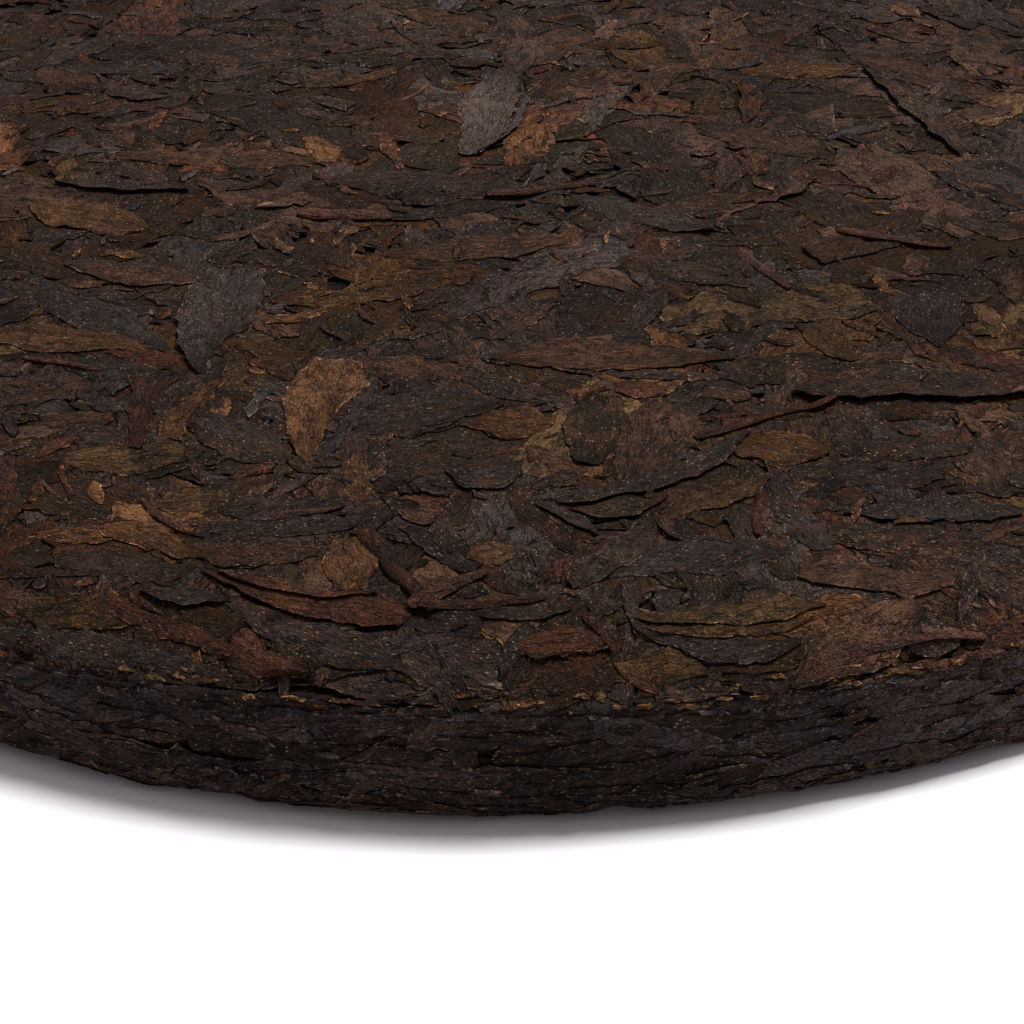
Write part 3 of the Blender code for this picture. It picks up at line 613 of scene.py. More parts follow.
NAMED_TWIGS = (
    # Stem end, tip, width, bend and rise
    ((-12.9, -76.6), (-6.0, -88.2), 1.9, 0.0, 0.5), ((-8.6, -87.4), (-1.5, -83.0), 1.3, 0.02, 0.7),
    ((-7.6, -87.6), (3.6, -86.6), 1.0, -0.02, 0.3), ((23.3, -69.8), (22.7, -77.0), 1.0, 0.02, 0.2),
    ((17.6, -61.4), (31.4, -53.8), 1.2, 0.01, 0.3), ((-21.2, -17.4), (-11.4, -18.9), 1.6, 0.0, 0.4),
    ((23.4, -25.4), (28.2, -33.6), 1.2, 0.02, 0.3), ((30.4, -91.7), (38.2, -88.4), 0.9, 0.03, 0.3),
    ((36.8, -88.1), (42.8, -87.4), 0.9, -0.03, 0.4), ((38.6, -91.4), (44.6, -88.6), 0.8, 0.05, 0.3),
    ((-22.8, -74.6), (-15.2, -73.2), 0.7, 0.02, 0.2), ((-46.5, -44.6), (-38.6, -48.2), 0.8, 0.03, 0.2),
    ((-2.0, -14.0), (9.5, -11.4), 1.1, 0.03, 0.3), ((33.5, -20.5), (45.0, -22.6), 1.2, -0.02, 0.3),
    ((-33.2, -70.8), (-27.0, -77.2), 0.6, -0.10, 0.1), ((6.6, -89.0), (9.4, -93.4), 0.7, 0.04, 0.2),
)


def between_ends(start, end):
    """The middle, the length and the turn of what reaches from one place on the top face to another."""
    (start_x, start_y), (end_x, end_y) = map_place(*start), map_place(*end)
    turn = math.degrees(math.atan2(end_y - start_y, end_x - start_x))
    return (start_x + end_x) / 2, (start_y + end_y) / 2, math.hypot(end_x - start_x, end_y - start_y), turn


def placed(outline):
    """The leaf that an outline describes, on the map."""
    x, y, length, turn = between_ends(outline.start, outline.end)
    half = max(*outline.right, *outline.left)
    sides = np.array(outline.right) / half, np.array(outline.left) / half
    shape = (length, 2 * half, turn, outline.bend, outline.rise, sides)
    return Leaf(outline.kind, x, y, *shape, tone=outline.tone)


def placed_twig(start, end, width, bend, rise):
    """The twig that a row describes, on the map."""
    x, y, length, turn = between_ends(start, end)
    return Leaf("twig", x, y, length, width, turn, bend, rise, None)


print(len(NAMED_LEAVES), "leaves and", len(NAMED_TWIGS), "twigs are placed one by one")

# %% How the rest are spread
KIND_SHARES = {
    "charcoal": 0.20, "slate": 0.11, "umber": 0.20, "brown": 0.22, "russet": 0.11, "olive": 0.08, "tan": 0.08,
}
GOLDEN_ANGLE = math.pi * (3 - math.sqrt(5))
IN_VIEW_BESIDE = 60
IN_VIEW_BEHIND = 45
SPACING_OUT_OF_VIEW = 1.25
SPACING_NEARNESS = [-IN_VIEW_BEHIND, 15, 50]
SPACING_THERE = [0.95, 0.70, 0.48]


def spacing_at(x, y):
    """How far apart a leaf's points lie: closest where the photograph looks closest."""
    if abs(x) > IN_VIEW_BESIDE or y > IN_VIEW_BEHIND:
        return SPACING_OUT_OF_VIEW
    return float(np.interp(-y, SPACING_NEARNESS, SPACING_THERE))


def torn_sides(draw, blunt):
    """How far both sides of a torn leaf reach at seven places, for half its width."""
    u = np.linspace(-1, 1, 7)
    tips = blunt + (1 - blunt) * (1 - np.abs(u) ** 2.2) ** 0.62
    return tuple(tips * (1 + draw.uniform(-0.3, 0.3) * u) * draw.uniform(0.55, 1.1, 7) for _ in range(2))


def kind_near(x, y, draw):
    """A kind by the shares above, but darker kinds gather in one place and warmer ones in the next."""
    cloud = 0.30 * float(waver(x / 13, y / 13, 2.0))
    chosen = min(max(0.84 * draw.random() + 0.08 + cloud, 0.0), 0.99)
    return list(KIND_SHARES)[int(np.searchsorted(np.cumsum(list(KIND_SHARES.values())), chosen))]


def spread(count, reach, lengths, slimness, draw, limit=RIM_TOP_WAY):
    """Leaves at every turn and of any kind, one to each place of a sunflower spiral, in shuffled order."""
    for step in draw.permutation(count):
        angle = step * GOLDEN_ANGLE + draw.uniform(-0.5, 0.5) * 2 / math.sqrt(count)
        length = lengths[0] + (lengths[1] - lengths[0]) * draw.random() ** 1.8
        width, turn = length * draw.uniform(*slimness), draw.uniform(0, 360)
        outward = math.radians(turn) - angle
        stretch = length / 2 * abs(math.cos(outward)) + width / 2 * abs(math.sin(outward))
        way = min(reach * math.sqrt((step + 0.5) / count), limit - stretch + draw.uniform(-0.7, 0.2))
        x, y = way * math.cos(angle), way * math.sin(angle)
        yield Leaf(
            kind_near(x, y, draw), x, y, length, width, turn, draw.normal(0, 0.05), 0.0,
            torn_sides(draw, draw.choice([0.05, 0.2, 0.5, 0.9])), draw.normal(0, 0.5, 2),
        )


Crack = namedtuple("Crack", "start end below_start below_end")
CRACKS = (
    # Degrees from the front, and how far below the lip it starts and ends
    Crack(-10.6, -7.1, 0.2, 0.4), Crack(-6.9, -4.4, -0.2, 0.1), Crack(-3.5, -2.0, 0.1, 0.4),
    Crack(0.6, 4.6, 0.3, 0.5), Crack(8.4, 12.6, 0.5, 0.9), Crack(-14.2, -11.4, 4.0, 4.2),
    Crack(14.6, 31, 2.6, 5.4), Crack(46, 55, 0.6, 1.2), Crack(58, 71, 3.2, 4.8),
    Crack(84, 95, 0.4, 1.0), Crack(104, 121, 4.6, 3.0), Crack(133, 140, 0.6, 0.2),
    Crack(150, 170, 2.4, 4.6), Crack(-60, -47, 0.6, 1.6), Crack(-88, -70, 4.4, 2.6),
    Crack(-112, -101, 0.5, 0.3), Crack(-140, -122, 3.0, 5.2), Crack(-170, -156, 1.2, 0.8),
)
CRACK_WIDTH = 0.30
SHORT = 5.0


def front_degrees(angle):
    """Degrees round the cake from the side that faces the camera, from -180 to 180."""
    return (np.degrees(angle) + 90 + 180) % 360 - 180


def crack_way(crack, degrees):
    """How far from the crown a crack is, at any degrees from the front."""
    along = (degrees - crack.start) / (crack.end - crack.start)
    below = crack.below_start + (crack.below_end - crack.below_start) * along
    return RIM_TOP_WAY + below + 0.25 * waver(degrees * 0.7, 0 * degrees, crack.start)


def clear_of_cracks(angle, way, length, width):
    """The way of a leaf on the rim, moved up or down if the leaf would close a crack."""
    degrees = front_degrees(angle)
    margin = 0.2 * math.degrees(length / 2 / CAKE_RADIUS)
    for crack in CRACKS:
        gap = 0.28 * width + CRACK_WIDTH / 2
        middle = float(crack_way(crack, np.array(degrees)))
        if crack.start - margin < degrees < crack.end + margin and abs(way - middle) < gap:
            way = middle + math.copysign(gap, way - middle)
    return way


def round_rim(count, ways, lengths, widths, turning, kinds, draw, limit=FOOT_WAY - 0.3):
    """Leaves that lie along the rim, evenly spread round it in shuffled order."""
    for step in draw.permutation(count):
        angle = 2 * math.pi * (step + draw.uniform(-0.5, 0.5)) / count
        length, width, way = draw.uniform(*lengths), draw.uniform(*widths), draw.uniform(*ways)
        turn = draw.normal(0, turning)
        if length > SHORT:
            way = clear_of_cracks(angle, way, length, width)
        stretch = width / 2 + length / 2 * abs(math.sin(math.radians(turn)))
        yield Leaf(
            str(draw.choice(kinds)), math.cos(angle), math.sin(angle), length, width, turn,
            draw.normal(0, 0.02), 0.0, torn_sides(draw, draw.choice([0.2, 0.6, 0.9])), draw.normal(0, 0.7, 2),
            min(way, limit - stretch),
        )


# %% Laying the top, the shoulder and the rim
draw = np.random.default_rng(SEED)
bed = Bed(FOOT_WAY + 1.5, 3.0, HOLLOWS)
laid = []
WALL_KINDS = ["rim", "rim", "rim", "rim", "rim", "umber", "slate", "charcoal"]
SHOULDER_KINDS = ["charcoal", "umber", "umber", "olive", "russet", "brown"]
LIP_KINDS = ["tan", "olive", "olive", "russet", "umber"]
WALL_SPACING = 0.70
WALL_ROWS = 6
WALL_ROW_LEAVES = 56
WALL_ROW_HEIGHT = 2.15
WALL_ROW_SCATTER = 0.7
WALL_WAYS = RIM_TOP_WAY, FOOT_WAY
SHOULDER_WAYS = RIM_TOP_WAY - 9, RIM_TOP_WAY - 1
SHOULDER_LIMIT = RIM_TOP_WAY + 0.3
LIP_WAYS = RIM_TOP_WAY - 2.0, RIM_TOP_WAY + 0.4
NAMED_SPACING = 0.44
TWIG_SINK = 0.5
NAMED_TWIG_SINK = 0.05


def lay_all(leaves, spacing=None, coarser=1.0):
    """Lays leaves in turn, with points as far apart as given or as the place asks for."""
    for leaf in leaves:
        laid.append(lay_leaf(bed, leaf, draw, spacing or coarser * spacing_at(leaf.x, leaf.y)))


# The rim: rows of long leaves, then shorter ones over them
for row in range(WALL_ROWS):
    top_way = RIM_TOP_WAY + WALL_ROW_HEIGHT * row
    ways = top_way, top_way + WALL_ROW_SCATTER
    lay_all(round_rim(WALL_ROW_LEAVES, ways, (13, 23), (2.8, 3.9), 2, WALL_KINDS, draw), WALL_SPACING)
lay_all(round_rim(560, WALL_WAYS, (4, 15), (0.8, 2.6), 6, WALL_KINDS, draw), WALL_SPACING)
lay_all(round_rim(480, WALL_WAYS, (1.5, 6), (0.5, 1.6), 16, WALL_KINDS, draw), WALL_SPACING)
# The top: a bed of broad leaves, the shoulder, small, large and small leaves, then splinters
lay_all(spread(950, RIM_TOP_WAY, (7, 21), (0.40, 0.65), draw), coarser=1.5)
lay_all(round_rim(170, SHOULDER_WAYS, (7, 17), (3, 6), 8, SHOULDER_KINDS, draw, SHOULDER_LIMIT), 0.7)
lay_all(spread(1550, RIM_TOP_WAY, (1.5, 7), (0.25, 0.6), draw))
lay_all(spread(850, RIM_TOP_WAY, (7, 25), (0.26, 0.50), draw))
lay_all(spread(1000, RIM_TOP_WAY, (1.5, 7), (0.25, 0.6), draw))
lay_all(spread(300, RIM_TOP_WAY, (3, 10), (0.10, 0.20), draw, RIM_TOP_WAY - 2))
lay_all(round_rim(110, SHOULDER_WAYS, (5, 13), (2, 5), 12, SHOULDER_KINDS, draw, SHOULDER_LIMIT), 0.6)
for leaf in spread(60, RIM_TOP_WAY - 4, (3, 9), (0.07, 0.12), draw):
    laid.append(lay_twig(bed, leaf, draw, TWIG_SINK))
# The leaves and twigs that stand out, and last the crumbs on the top and along the lip
for outline in NAMED_LEAVES:
    laid.append(lay_leaf(bed, placed(outline), draw, NAMED_SPACING, 2))
for row in NAMED_TWIGS:
    laid.append(lay_twig(bed, placed_twig(*row), draw, NAMED_TWIG_SINK))
lay_all(spread(200, RIM_TOP_WAY - 4, (0.8, 2.4), (0.3, 0.6), draw))
lay_all(round_rim(480, LIP_WAYS, (0.7, 2.6), (0.3, 0.75), 12, LIP_KINDS, draw), 0.5)
bed.fill_mould()
print(len(laid), "leaves are laid on the top and the rim; the bed is", bed.mean.round(2), "mm high")

# %% Laying the underside
UNDERSIDE_LEVEL = 0.35
UNDERSIDE_RADIUS = CAKE_RADIUS - FOOT_ROUNDING
UNDERSIDE_COUNT = 900
UNDERSIDE_SPACING = 2.0
under_bed = Bed(CAKE_RADIUS, 8.0)
under_laid = [
    lay_leaf(under_bed, leaf._replace(kind="underside"), draw, UNDERSIDE_SPACING)
    for leaf in spread(UNDERSIDE_COUNT, UNDERSIDE_RADIUS, (7, 19), (0.30, 0.55), draw, UNDERSIDE_RADIUS)
]
under_bed.fill_mould()
print(len(under_laid), "leaves are laid under the cake")

# %% [markdown]
# ## From the map to meshes
#
# Leaves that later ones hide are left out, and of the others the covered ends and sides are cut away.
# What is left of a leaf becomes a closed solid. The solids are pressed, wrapped round the disc, and joined
# into one mesh for each kind. Each point carries facts for the finish: how far along and across its leaf
# it is, how near the edge, and two random values that its whole leaf shares.

# %% A closed solid from the top of a leaf
FACTS = ("along", "across", "edge", "tone", "grain")
LOWER_POINTS = 3
COVERED = 0.12
LEAST_SEEN = 0.35
SHARP_DEGREES = 50
Solid = namedtuple("Solid", "points quads triangles facts")


@functools.lru_cache(maxsize=None)
def tube_faces(stations, upper, lower):
    """Quads and triangles of a flat tube: upper points across its top and lower ones across its bottom."""
    ring = upper + lower
    station, place = np.meshgrid(np.arange(stations - 1), np.arange(ring), indexing="ij")
    station, place = station.ravel() * ring, place.ravel()
    following = (place + 1) % ring
    corners = [place, ring + place, ring + following, following]
    quads = np.stack([station + corner for corner in corners], 1)
    triangles = []
    for first, flip in ((0, False), ((stations - 1) * ring, True)):
        top = [first + i for i in range(upper)]
        bottom = [first + ring - 1 - i for i in range(lower)]
        i = j = 0
        while i < upper - 1 or j < lower - 1:
            if j == lower - 1 or (i < upper - 1 and (i + 1) * (lower - 1) <= (j + 1) * (upper - 1)):
                corners, i = (top[i], top[i + 1], bottom[j]), i + 1
            else:
                corners, j = (top[i], bottom[j + 1], bottom[j]), j + 1
            triangles.append(corners[::-1] if flip else corners)
    return quads, np.array(triangles)


def solid_of(leaf, bed):
    """The part of a laid leaf that shows, as a closed solid, or None. Twigs are closed as they are."""
    seen = leaf.top > read(bed.height, bed.whole, bed, leaf.x, leaf.y) - COVERED
    if seen.mean() * np.ptp(leaf.facts["along"]) * np.ptp(leaf.facts["across"]) < LEAST_SEEN:
        return None
    if leaf.kind == "twig":
        points = np.stack([leaf.x, leaf.y, leaf.top], -1).reshape(-1, 3)
        facts = {name: leaf.facts[name].ravel() for name in FACTS}
        return Solid(points, *tube_faces(len(leaf.x), len(TWIG_UPPER), len(TWIG_LOWER)), facts)
    rows, columns = np.flatnonzero(seen.any(axis=1)), np.flatnonzero(seen.any(axis=0))
    kept = (slice(max(rows[0] - 1, 0), rows[-1] + 2), slice(max(columns[0] - 1, 0), columns[-1] + 2))
    x, y, top = leaf.x[kept], leaf.y[kept], leaf.top[kept]
    last = top.shape[1] - 1
    ring = list(range(last + 1)) + [last, last // 2, 0]
    below = np.array([0] * (last + 1) + [1, 1.6, 1]) * leaf.thickness
    points = np.stack([x[:, ring], y[:, ring], top[:, ring] - below], -1).reshape(-1, 3)
    facts = {name: leaf.facts[name][kept][:, ring].ravel() for name in FACTS}
    return Solid(points, *tube_faces(len(top), last + 1, LOWER_POINTS), facts)


# %% Joining solids into pieces
def joined(name, solids, wrap, mirrored=False):
    """One mesh piece from many solids, wrapped on the cake by a function of places on the map."""
    points, quads, triangles, count = [], [], [], 0
    for solid in solids:
        points.append(solid.points)
        quads.append(solid.quads + count)
        triangles.append(solid.triangles + count)
        count += len(solid.points)
    points, quads, triangles = np.concatenate(points), np.concatenate(quads), np.concatenate(triangles)
    if mirrored:
        quads, triangles = quads[:, ::-1], triangles[:, ::-1]
    mesh = bpy.data.meshes.new(name)
    mesh.vertices.add(count)
    mesh.vertices.foreach_set("co", (wrap(*points.T) * MM).astype(np.float32).ravel())
    corners = np.append(quads.ravel(), triangles.ravel())
    mesh.loops.add(len(corners))
    mesh.loops.foreach_set("vertex_index", corners.astype(np.int32))
    starts = np.append(np.arange(len(quads)) * 4, len(quads) * 4 + np.arange(len(triangles)) * 3)
    mesh.polygons.add(len(starts))
    mesh.polygons.foreach_set("loop_start", starts.astype(np.int32))
    mesh.update(calc_edges=True)
    mesh.shade_smooth()
    mesh.set_sharp_from_angle(angle=math.radians(SHARP_DEGREES))
    for fact in FACTS:
        values = np.concatenate([solid.facts[fact] for solid in solids])
        mesh.attributes.new(fact, "FLOAT", "POINT").data.foreach_set("value", values.astype(np.float32))
    piece = bpy.data.objects.new(name, mesh)
    bpy.context.scene.collection.objects.link(piece)
    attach(piece, "root")
    print(f"{name}: {len(solids)} solids, {2 * len(quads) + len(triangles)} triangles")
    return piece


def wrap_top(map_x, map_y, height):
    """Places on the pressed cake, from places and heights on the bed."""
    return on_skin(map_x, map_y, bed.pressed(map_x, map_y, height))


def wrap_underside(map_x, map_y, height):
    """The same for the flat underside, with the leaves hanging down from it."""
    lowered = UNDERSIDE_LEVEL - under_bed.pressed(map_x, map_y, height)
    return np.stack([map_x, map_y, np.maximum(lowered, LOWEST)], -1)


def solids_of_kind(kind, leaves, bed):
    """The solids of all laid leaves of one kind, without those that are hidden."""
    solids = (solid_of(leaf, bed) for leaf in leaves if leaf.kind == kind)
    return [solid for solid in solids if solid]


pieces = {
    kind: joined(f"{kind}_leaves", solids_of_kind(kind, laid, bed), wrap_top)
    for kind in (*KIND_SHARES, "rim")
}
pieces["twig"] = joined("twigs", solids_of_kind("twig", laid, bed), wrap_top)
under_solids = solids_of_kind("underside", under_laid, under_bed)
pieces["underside"] = joined("underside_leaves", under_solids, wrap_underside, mirrored=True)

# %% [markdown]
# ## The core
#
# Between the leaves the eye falls on the crumbs pressed deeper in the cake. That is the core: a turned
# solid just under the leaves, a little uneven, with the cracks that run round the rim between its layers.
# Its crumbs are coloured far darker than the leaves, as painted shade in the gaps.

# %% Turning the core
CORE_STEPS = 240
CORE_TOP_ROWS = 60
CORE_EDGE_STEP = 0.45
CORE_UNDER_ROWS = 20
CORE_BELOW_LEAVES = 0.3
CORE_UNDERSIDE = 0.9
CRACK_DEPTH = 2.0


def core_lift(way, angle):
    """How high the core is on the bed: just under the leaves, and deeper in the cracks."""
    x, y = way * np.cos(angle), way * np.sin(angle)
    low = read(bed.floor, bed.whole, bed, x, y) - CORE_BELOW_LEAVES + 0.35 * waver(x / 0.9, y / 0.9, 4.0)
    degrees = front_degrees(angle)
    for crack in CRACKS:
        begun = ramp(degrees, crack.start - 0.5, crack.start + 1)
        inside = begun * (1 - ramp(degrees, crack.end - 1, crack.end + 0.5))
        across = (way - crack_way(crack, degrees)) / CRACK_WIDTH
        low = low - CRACK_DEPTH * inside * np.exp(-across ** 2)
    return low


def turn_core():
    """The core as one closed mesh: rings from the crown over the rim to the middle of the underside."""
    ways = np.concatenate([
        np.linspace(0.0, SHOULDER_WAY, CORE_TOP_ROWS)[1:],
        np.arange(SHOULDER_WAY + 0.7, FOOT_WAY, CORE_EDGE_STEP), [FOOT_WAY],
    ])
    angles = np.arange(CORE_STEPS) * 2 * math.pi / CORE_STEPS
    way, angle = np.meshgrid(ways, angles, indexing="ij")
    rows = list(wrap_top(way * np.cos(angle), way * np.sin(angle), core_lift(way, angle)))
    rows[-1][:, 2] = CORE_UNDERSIDE
    rim_radius = np.hypot(rows[-1][:, 0], rows[-1][:, 1])
    for share in np.linspace(1, 0, CORE_UNDER_ROWS)[1:-1]:
        radius = rim_radius * share
        uneven = 0.12 * waver(radius * np.cos(angles) / 5, radius * np.sin(angles) / 5, 8.0)
        rows.append(np.stack([radius * np.cos(angles), radius * np.sin(angles), CORE_UNDERSIDE + uneven], -1))
    crown = wrap_top(np.zeros(1), np.zeros(1), core_lift(np.zeros(1), np.zeros(1)))
    points = np.concatenate([crown, *rows, [[0, 0, CORE_UNDERSIDE]]])
    last = len(points) - 1
    faces = []
    for step in range(CORE_STEPS):
        following = (step + 1) % CORE_STEPS
        faces.append((0, 1 + step, 1 + following))
        for row in range(len(rows) - 1):
            upper, lower = 1 + row * CORE_STEPS, 1 + (row + 1) * CORE_STEPS
            faces.append((upper + step, lower + step, lower + following, upper + following))
        lowest = 1 + (len(rows) - 1) * CORE_STEPS
        faces.append((lowest + step, last, lowest + following))
    mesh = bpy.data.meshes.new("pressed_core")
    mesh.from_pydata([tuple(point) for point in points * MM], [], faces)
    mesh.shade_smooth()
    core = bpy.data.objects.new("pressed_core", mesh)
    bpy.context.scene.collection.objects.link(core)
    return core


core = turn_core()
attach(core, "root")
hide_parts("tea_cake")
print("pressed_core:", len(core.data.polygons), "faces")

# %% [markdown]
# ## Shader maths as Python
#
# A finish is a sum of fields: fibres, mottling, patches, painted glints. Wiring each sum by hand hides it, so
# one small class wraps a node's output and lets it be added and multiplied as a number can.

# %% A wire that can be added and multiplied
class Wire:
    """A node's output. Sums on it add Math nodes, and node() adds any other node."""

    def __init__(self, tree, output=None):
        self.tree, self.output = tree, output

    def node(self, kind, settings=None, sockets=None, give=0):
        """A new node with these settings and socket values, as the wire from one of its outputs."""
        new = self.tree.nodes.new(kind)
        for name, value in (settings or {}).items():
            setattr(new, name, value)
        for name, value in (sockets or {}).items():
            if isinstance(value, Wire):
                self.tree.links.new(value.output, new.inputs[name])
            else:
                new.inputs[name].default_value = value
        return Wire(self.tree, new.outputs[give])

    def math(self, operation, first, second=0.0):
        return self.node("ShaderNodeMath", {"operation": operation}, {0: first, 1: second})

    def __add__(self, other):
        return self.math("ADD", self, other)

    def __sub__(self, other):
        return self.math("SUBTRACT", self, other)

    def __rsub__(self, other):
        return self.math("SUBTRACT", other, self)

    def __mul__(self, other):
        return self.math("MULTIPLY", self, other)

    def __abs__(self):
        return self.math("ABSOLUTE", self)

    def at_least(self, lowest):
        return self.math("MAXIMUM", self, lowest)

    def at_most(self, highest):
        return self.math("MINIMUM", self, highest)

    __radd__ = __add__
    __rmul__ = __mul__

    def between(self, low, high):
        """0 below low, 1 above high, and a smooth step between."""
        settings = {"interpolation_type": "SMOOTHSTEP"}
        return self.node("ShaderNodeMapRange", settings, {"Value": self, "From Min": low, "From Max": high})

    def fact(self, name):
        """A value that the mesh's points carry."""
        return self.node("ShaderNodeAttribute", {"attribute_name": name}, give="Fac")

    def vector(self, x, y, z):
        return self.node("ShaderNodeCombineXYZ", None, {"X": x, "Y": y, "Z": z})

    def noise(self, place, scale, detail, roughness, flat="2D"):
        """Cloudy random values, on a plane unless flat says otherwise."""
        sockets = {"Vector": place, "Scale": scale, "Detail": detail, "Roughness": roughness}
        return self.node("ShaderNodeTexNoise", {"noise_dimensions": flat}, sockets)

    def cells(self, place, scale, feature="F1"):
        """Random polygons on a plane: the distance to their middles, or to their edges."""
        settings = {"feature": feature, "voronoi_dimensions": "2D"}
        return self.node("ShaderNodeTexVoronoi", settings, {"Vector": place, "Scale": scale}, "Distance")

    def other(self, name):
        """Another output of the same node."""
        return Wire(self.tree, self.output.node.outputs[name])

    def mix(self, share, first, second, blend="MIX"):
        """A colour between two others. 6 and 7 are the Mix node's colour sockets."""
        settings = {"data_type": "RGBA", "blend_type": blend}
        return self.node("ShaderNodeMix", settings, {0: share, 6: first, 7: second}, give=2)


def new_finish(name):
    """An empty material: its first wire and its shader."""
    finish = bpy.data.materials.new(name)
    finish.use_nodes = True
    return finish, Wire(finish.node_tree), finish.node_tree.nodes["Principled BSDF"]


def feed(wire, shader, socket):
    """Lets a wire drive a socket of the shader."""
    wire.tree.links.new(wire.output, shader.inputs[socket])


# %% [markdown]
# ## The leaf finish
#
# Fermented and roasted leaves are nearly black, with brown, russet, tan and olive ones among them, and no
# leaf is one colour. Each kind has a dark, a middle and a light colour. Mottling moves over them, patches
# of another colour break in, and the skin is crazed into chips that differ a little, with painted shade in
# the crazing lines and folds. Fibres run along the leaf and fine grit roughens it. Painted light and painted
# shade run along the edges, pale painted glints are specked all over, and a painted sheen and paler or
# darker patches lie over the face.

# %% One finish for each kind of leaf
LeafLook = namedtuple("LeafLook", "dark middle light patch patchiness chipping fibre speckle")
LOOKS = {
    "charcoal": LeafLook((0.0151, 0.0086, 0.0040), (0.0235, 0.0152, 0.0112), (0.0431, 0.0298, 0.0242),
                         (0.0449, 0.0190, 0.0080), 0.75, 0.9, 0.6, 1.0),
    "slate": LeafLook((0.0164, 0.0100, 0.0056), (0.0258, 0.0179, 0.0142), (0.0477, 0.0360, 0.0320),
                      (0.0336, 0.0168, 0.0092), 0.6, 0.7, 0.7, 0.9),
    "umber": LeafLook((0.0182, 0.0096, 0.0044), (0.0326, 0.0177, 0.0119), (0.0549, 0.0315, 0.0236),
                      (0.0159, 0.0097, 0.0073), 0.8, 0.6, 0.6, 0.7),
    "brown": LeafLook((0.0228, 0.0110, 0.0040), (0.0473, 0.0223, 0.0118), (0.0787, 0.0403, 0.0242),
                      (0.0168, 0.0097, 0.0070), 0.8, 0.5, 0.7, 0.6),
    "russet": LeafLook((0.0237, 0.0092, 0.0026), (0.0499, 0.0170, 0.0075), (0.0859, 0.0334, 0.0173),
                       (0.0187, 0.0093, 0.0061), 0.8, 0.4, 0.7, 0.5),
    "tan": LeafLook((0.0377, 0.0159, 0.0043), (0.0819, 0.0350, 0.0129), (0.1429, 0.0677, 0.0302),
                    (0.0286, 0.0121, 0.0060), 0.7, 0.4, 0.8, 0.8),
    "olive": LeafLook((0.0292, 0.0140, 0.0036), (0.0628, 0.0309, 0.0108), (0.1133, 0.0613, 0.0242),
                      (0.0206, 0.0105, 0.0058), 0.8, 0.5, 1.2, 0.6),
    "twig": LeafLook((0.0233, 0.0101, 0.0052), (0.0457, 0.0198, 0.0136), (0.0806, 0.0387, 0.0281),
                     (0.0821, 0.0245, 0.0087), 0.5, 0.2, 1.3, 0.5),
    "rim": LeafLook((0.0221, 0.0147, 0.0139), (0.0363, 0.0252, 0.0247), (0.0548, 0.0386, 0.0355),
                    (0.0447, 0.0243, 0.0140), 0.7, 1.0, 0.5, 0.4),
    "underside": LeafLook((0.0169, 0.0090, 0.0038), (0.0326, 0.0177, 0.0103), (0.0623, 0.0336, 0.0194),
                          (0.0514, 0.0206, 0.0083), 0.8, 0.7, 0.6, 0.6),
}
# The colour of the painted glints: pale specks that stand in for light caught on the leaf
PAINTED_GLINT_COLOUR = (0.30, 0.225, 0.165, 1.0)
# How wide the band of painted edge light and shade is, in millimetres
EDGE_BAND = 0.20
DARKEST = 0.15
CLOUDS_PER_METRE = 48.0
BUMP_DEPTH = 0.32 * MM
LEAF_SPECULAR = 0.07
SHEEN_FADE = 2.5
Sheen = namedtuple("Sheen", "x y half_x half_y amount")
SHEENS = (
    # A painted sheen on the crown, and patches painted paler or darker: the middle, half the size each way,
    # and the amount
    Sheen(-13, 5, 21, 11, 0.52), Sheen(33, -37, 20, 8, -0.34), Sheen(-30, -67, 8, 9, 0.34),
    Sheen(11, -70, 13, 9, -0.26), Sheen(-6, -86, 8, 8, -0.26), Sheen(41, -86, 13, 6, 0.36),
    Sheen(6, -102, 18, 6, -0.20),
)


def sheen_at(place):
    """How pale the face is painted at a place of the cake, around 1: a painted sheen and paler or darker
    patches.
    """
    x, y = (place.node("ShaderNodeSeparateXYZ", None, {0: place}, give=axis) * (1 / MM) for axis in (0, 1))
    paleness = 1.0
    for sheen in SHEENS:
        across, up = (x - sheen.x) * (1 / sheen.half_x), (y - sheen.y) * (1 / sheen.half_y)
        paleness = paleness + (1 - (across * across + up * up).between(0.0, SHEEN_FADE)) * sheen.amount
    return paleness


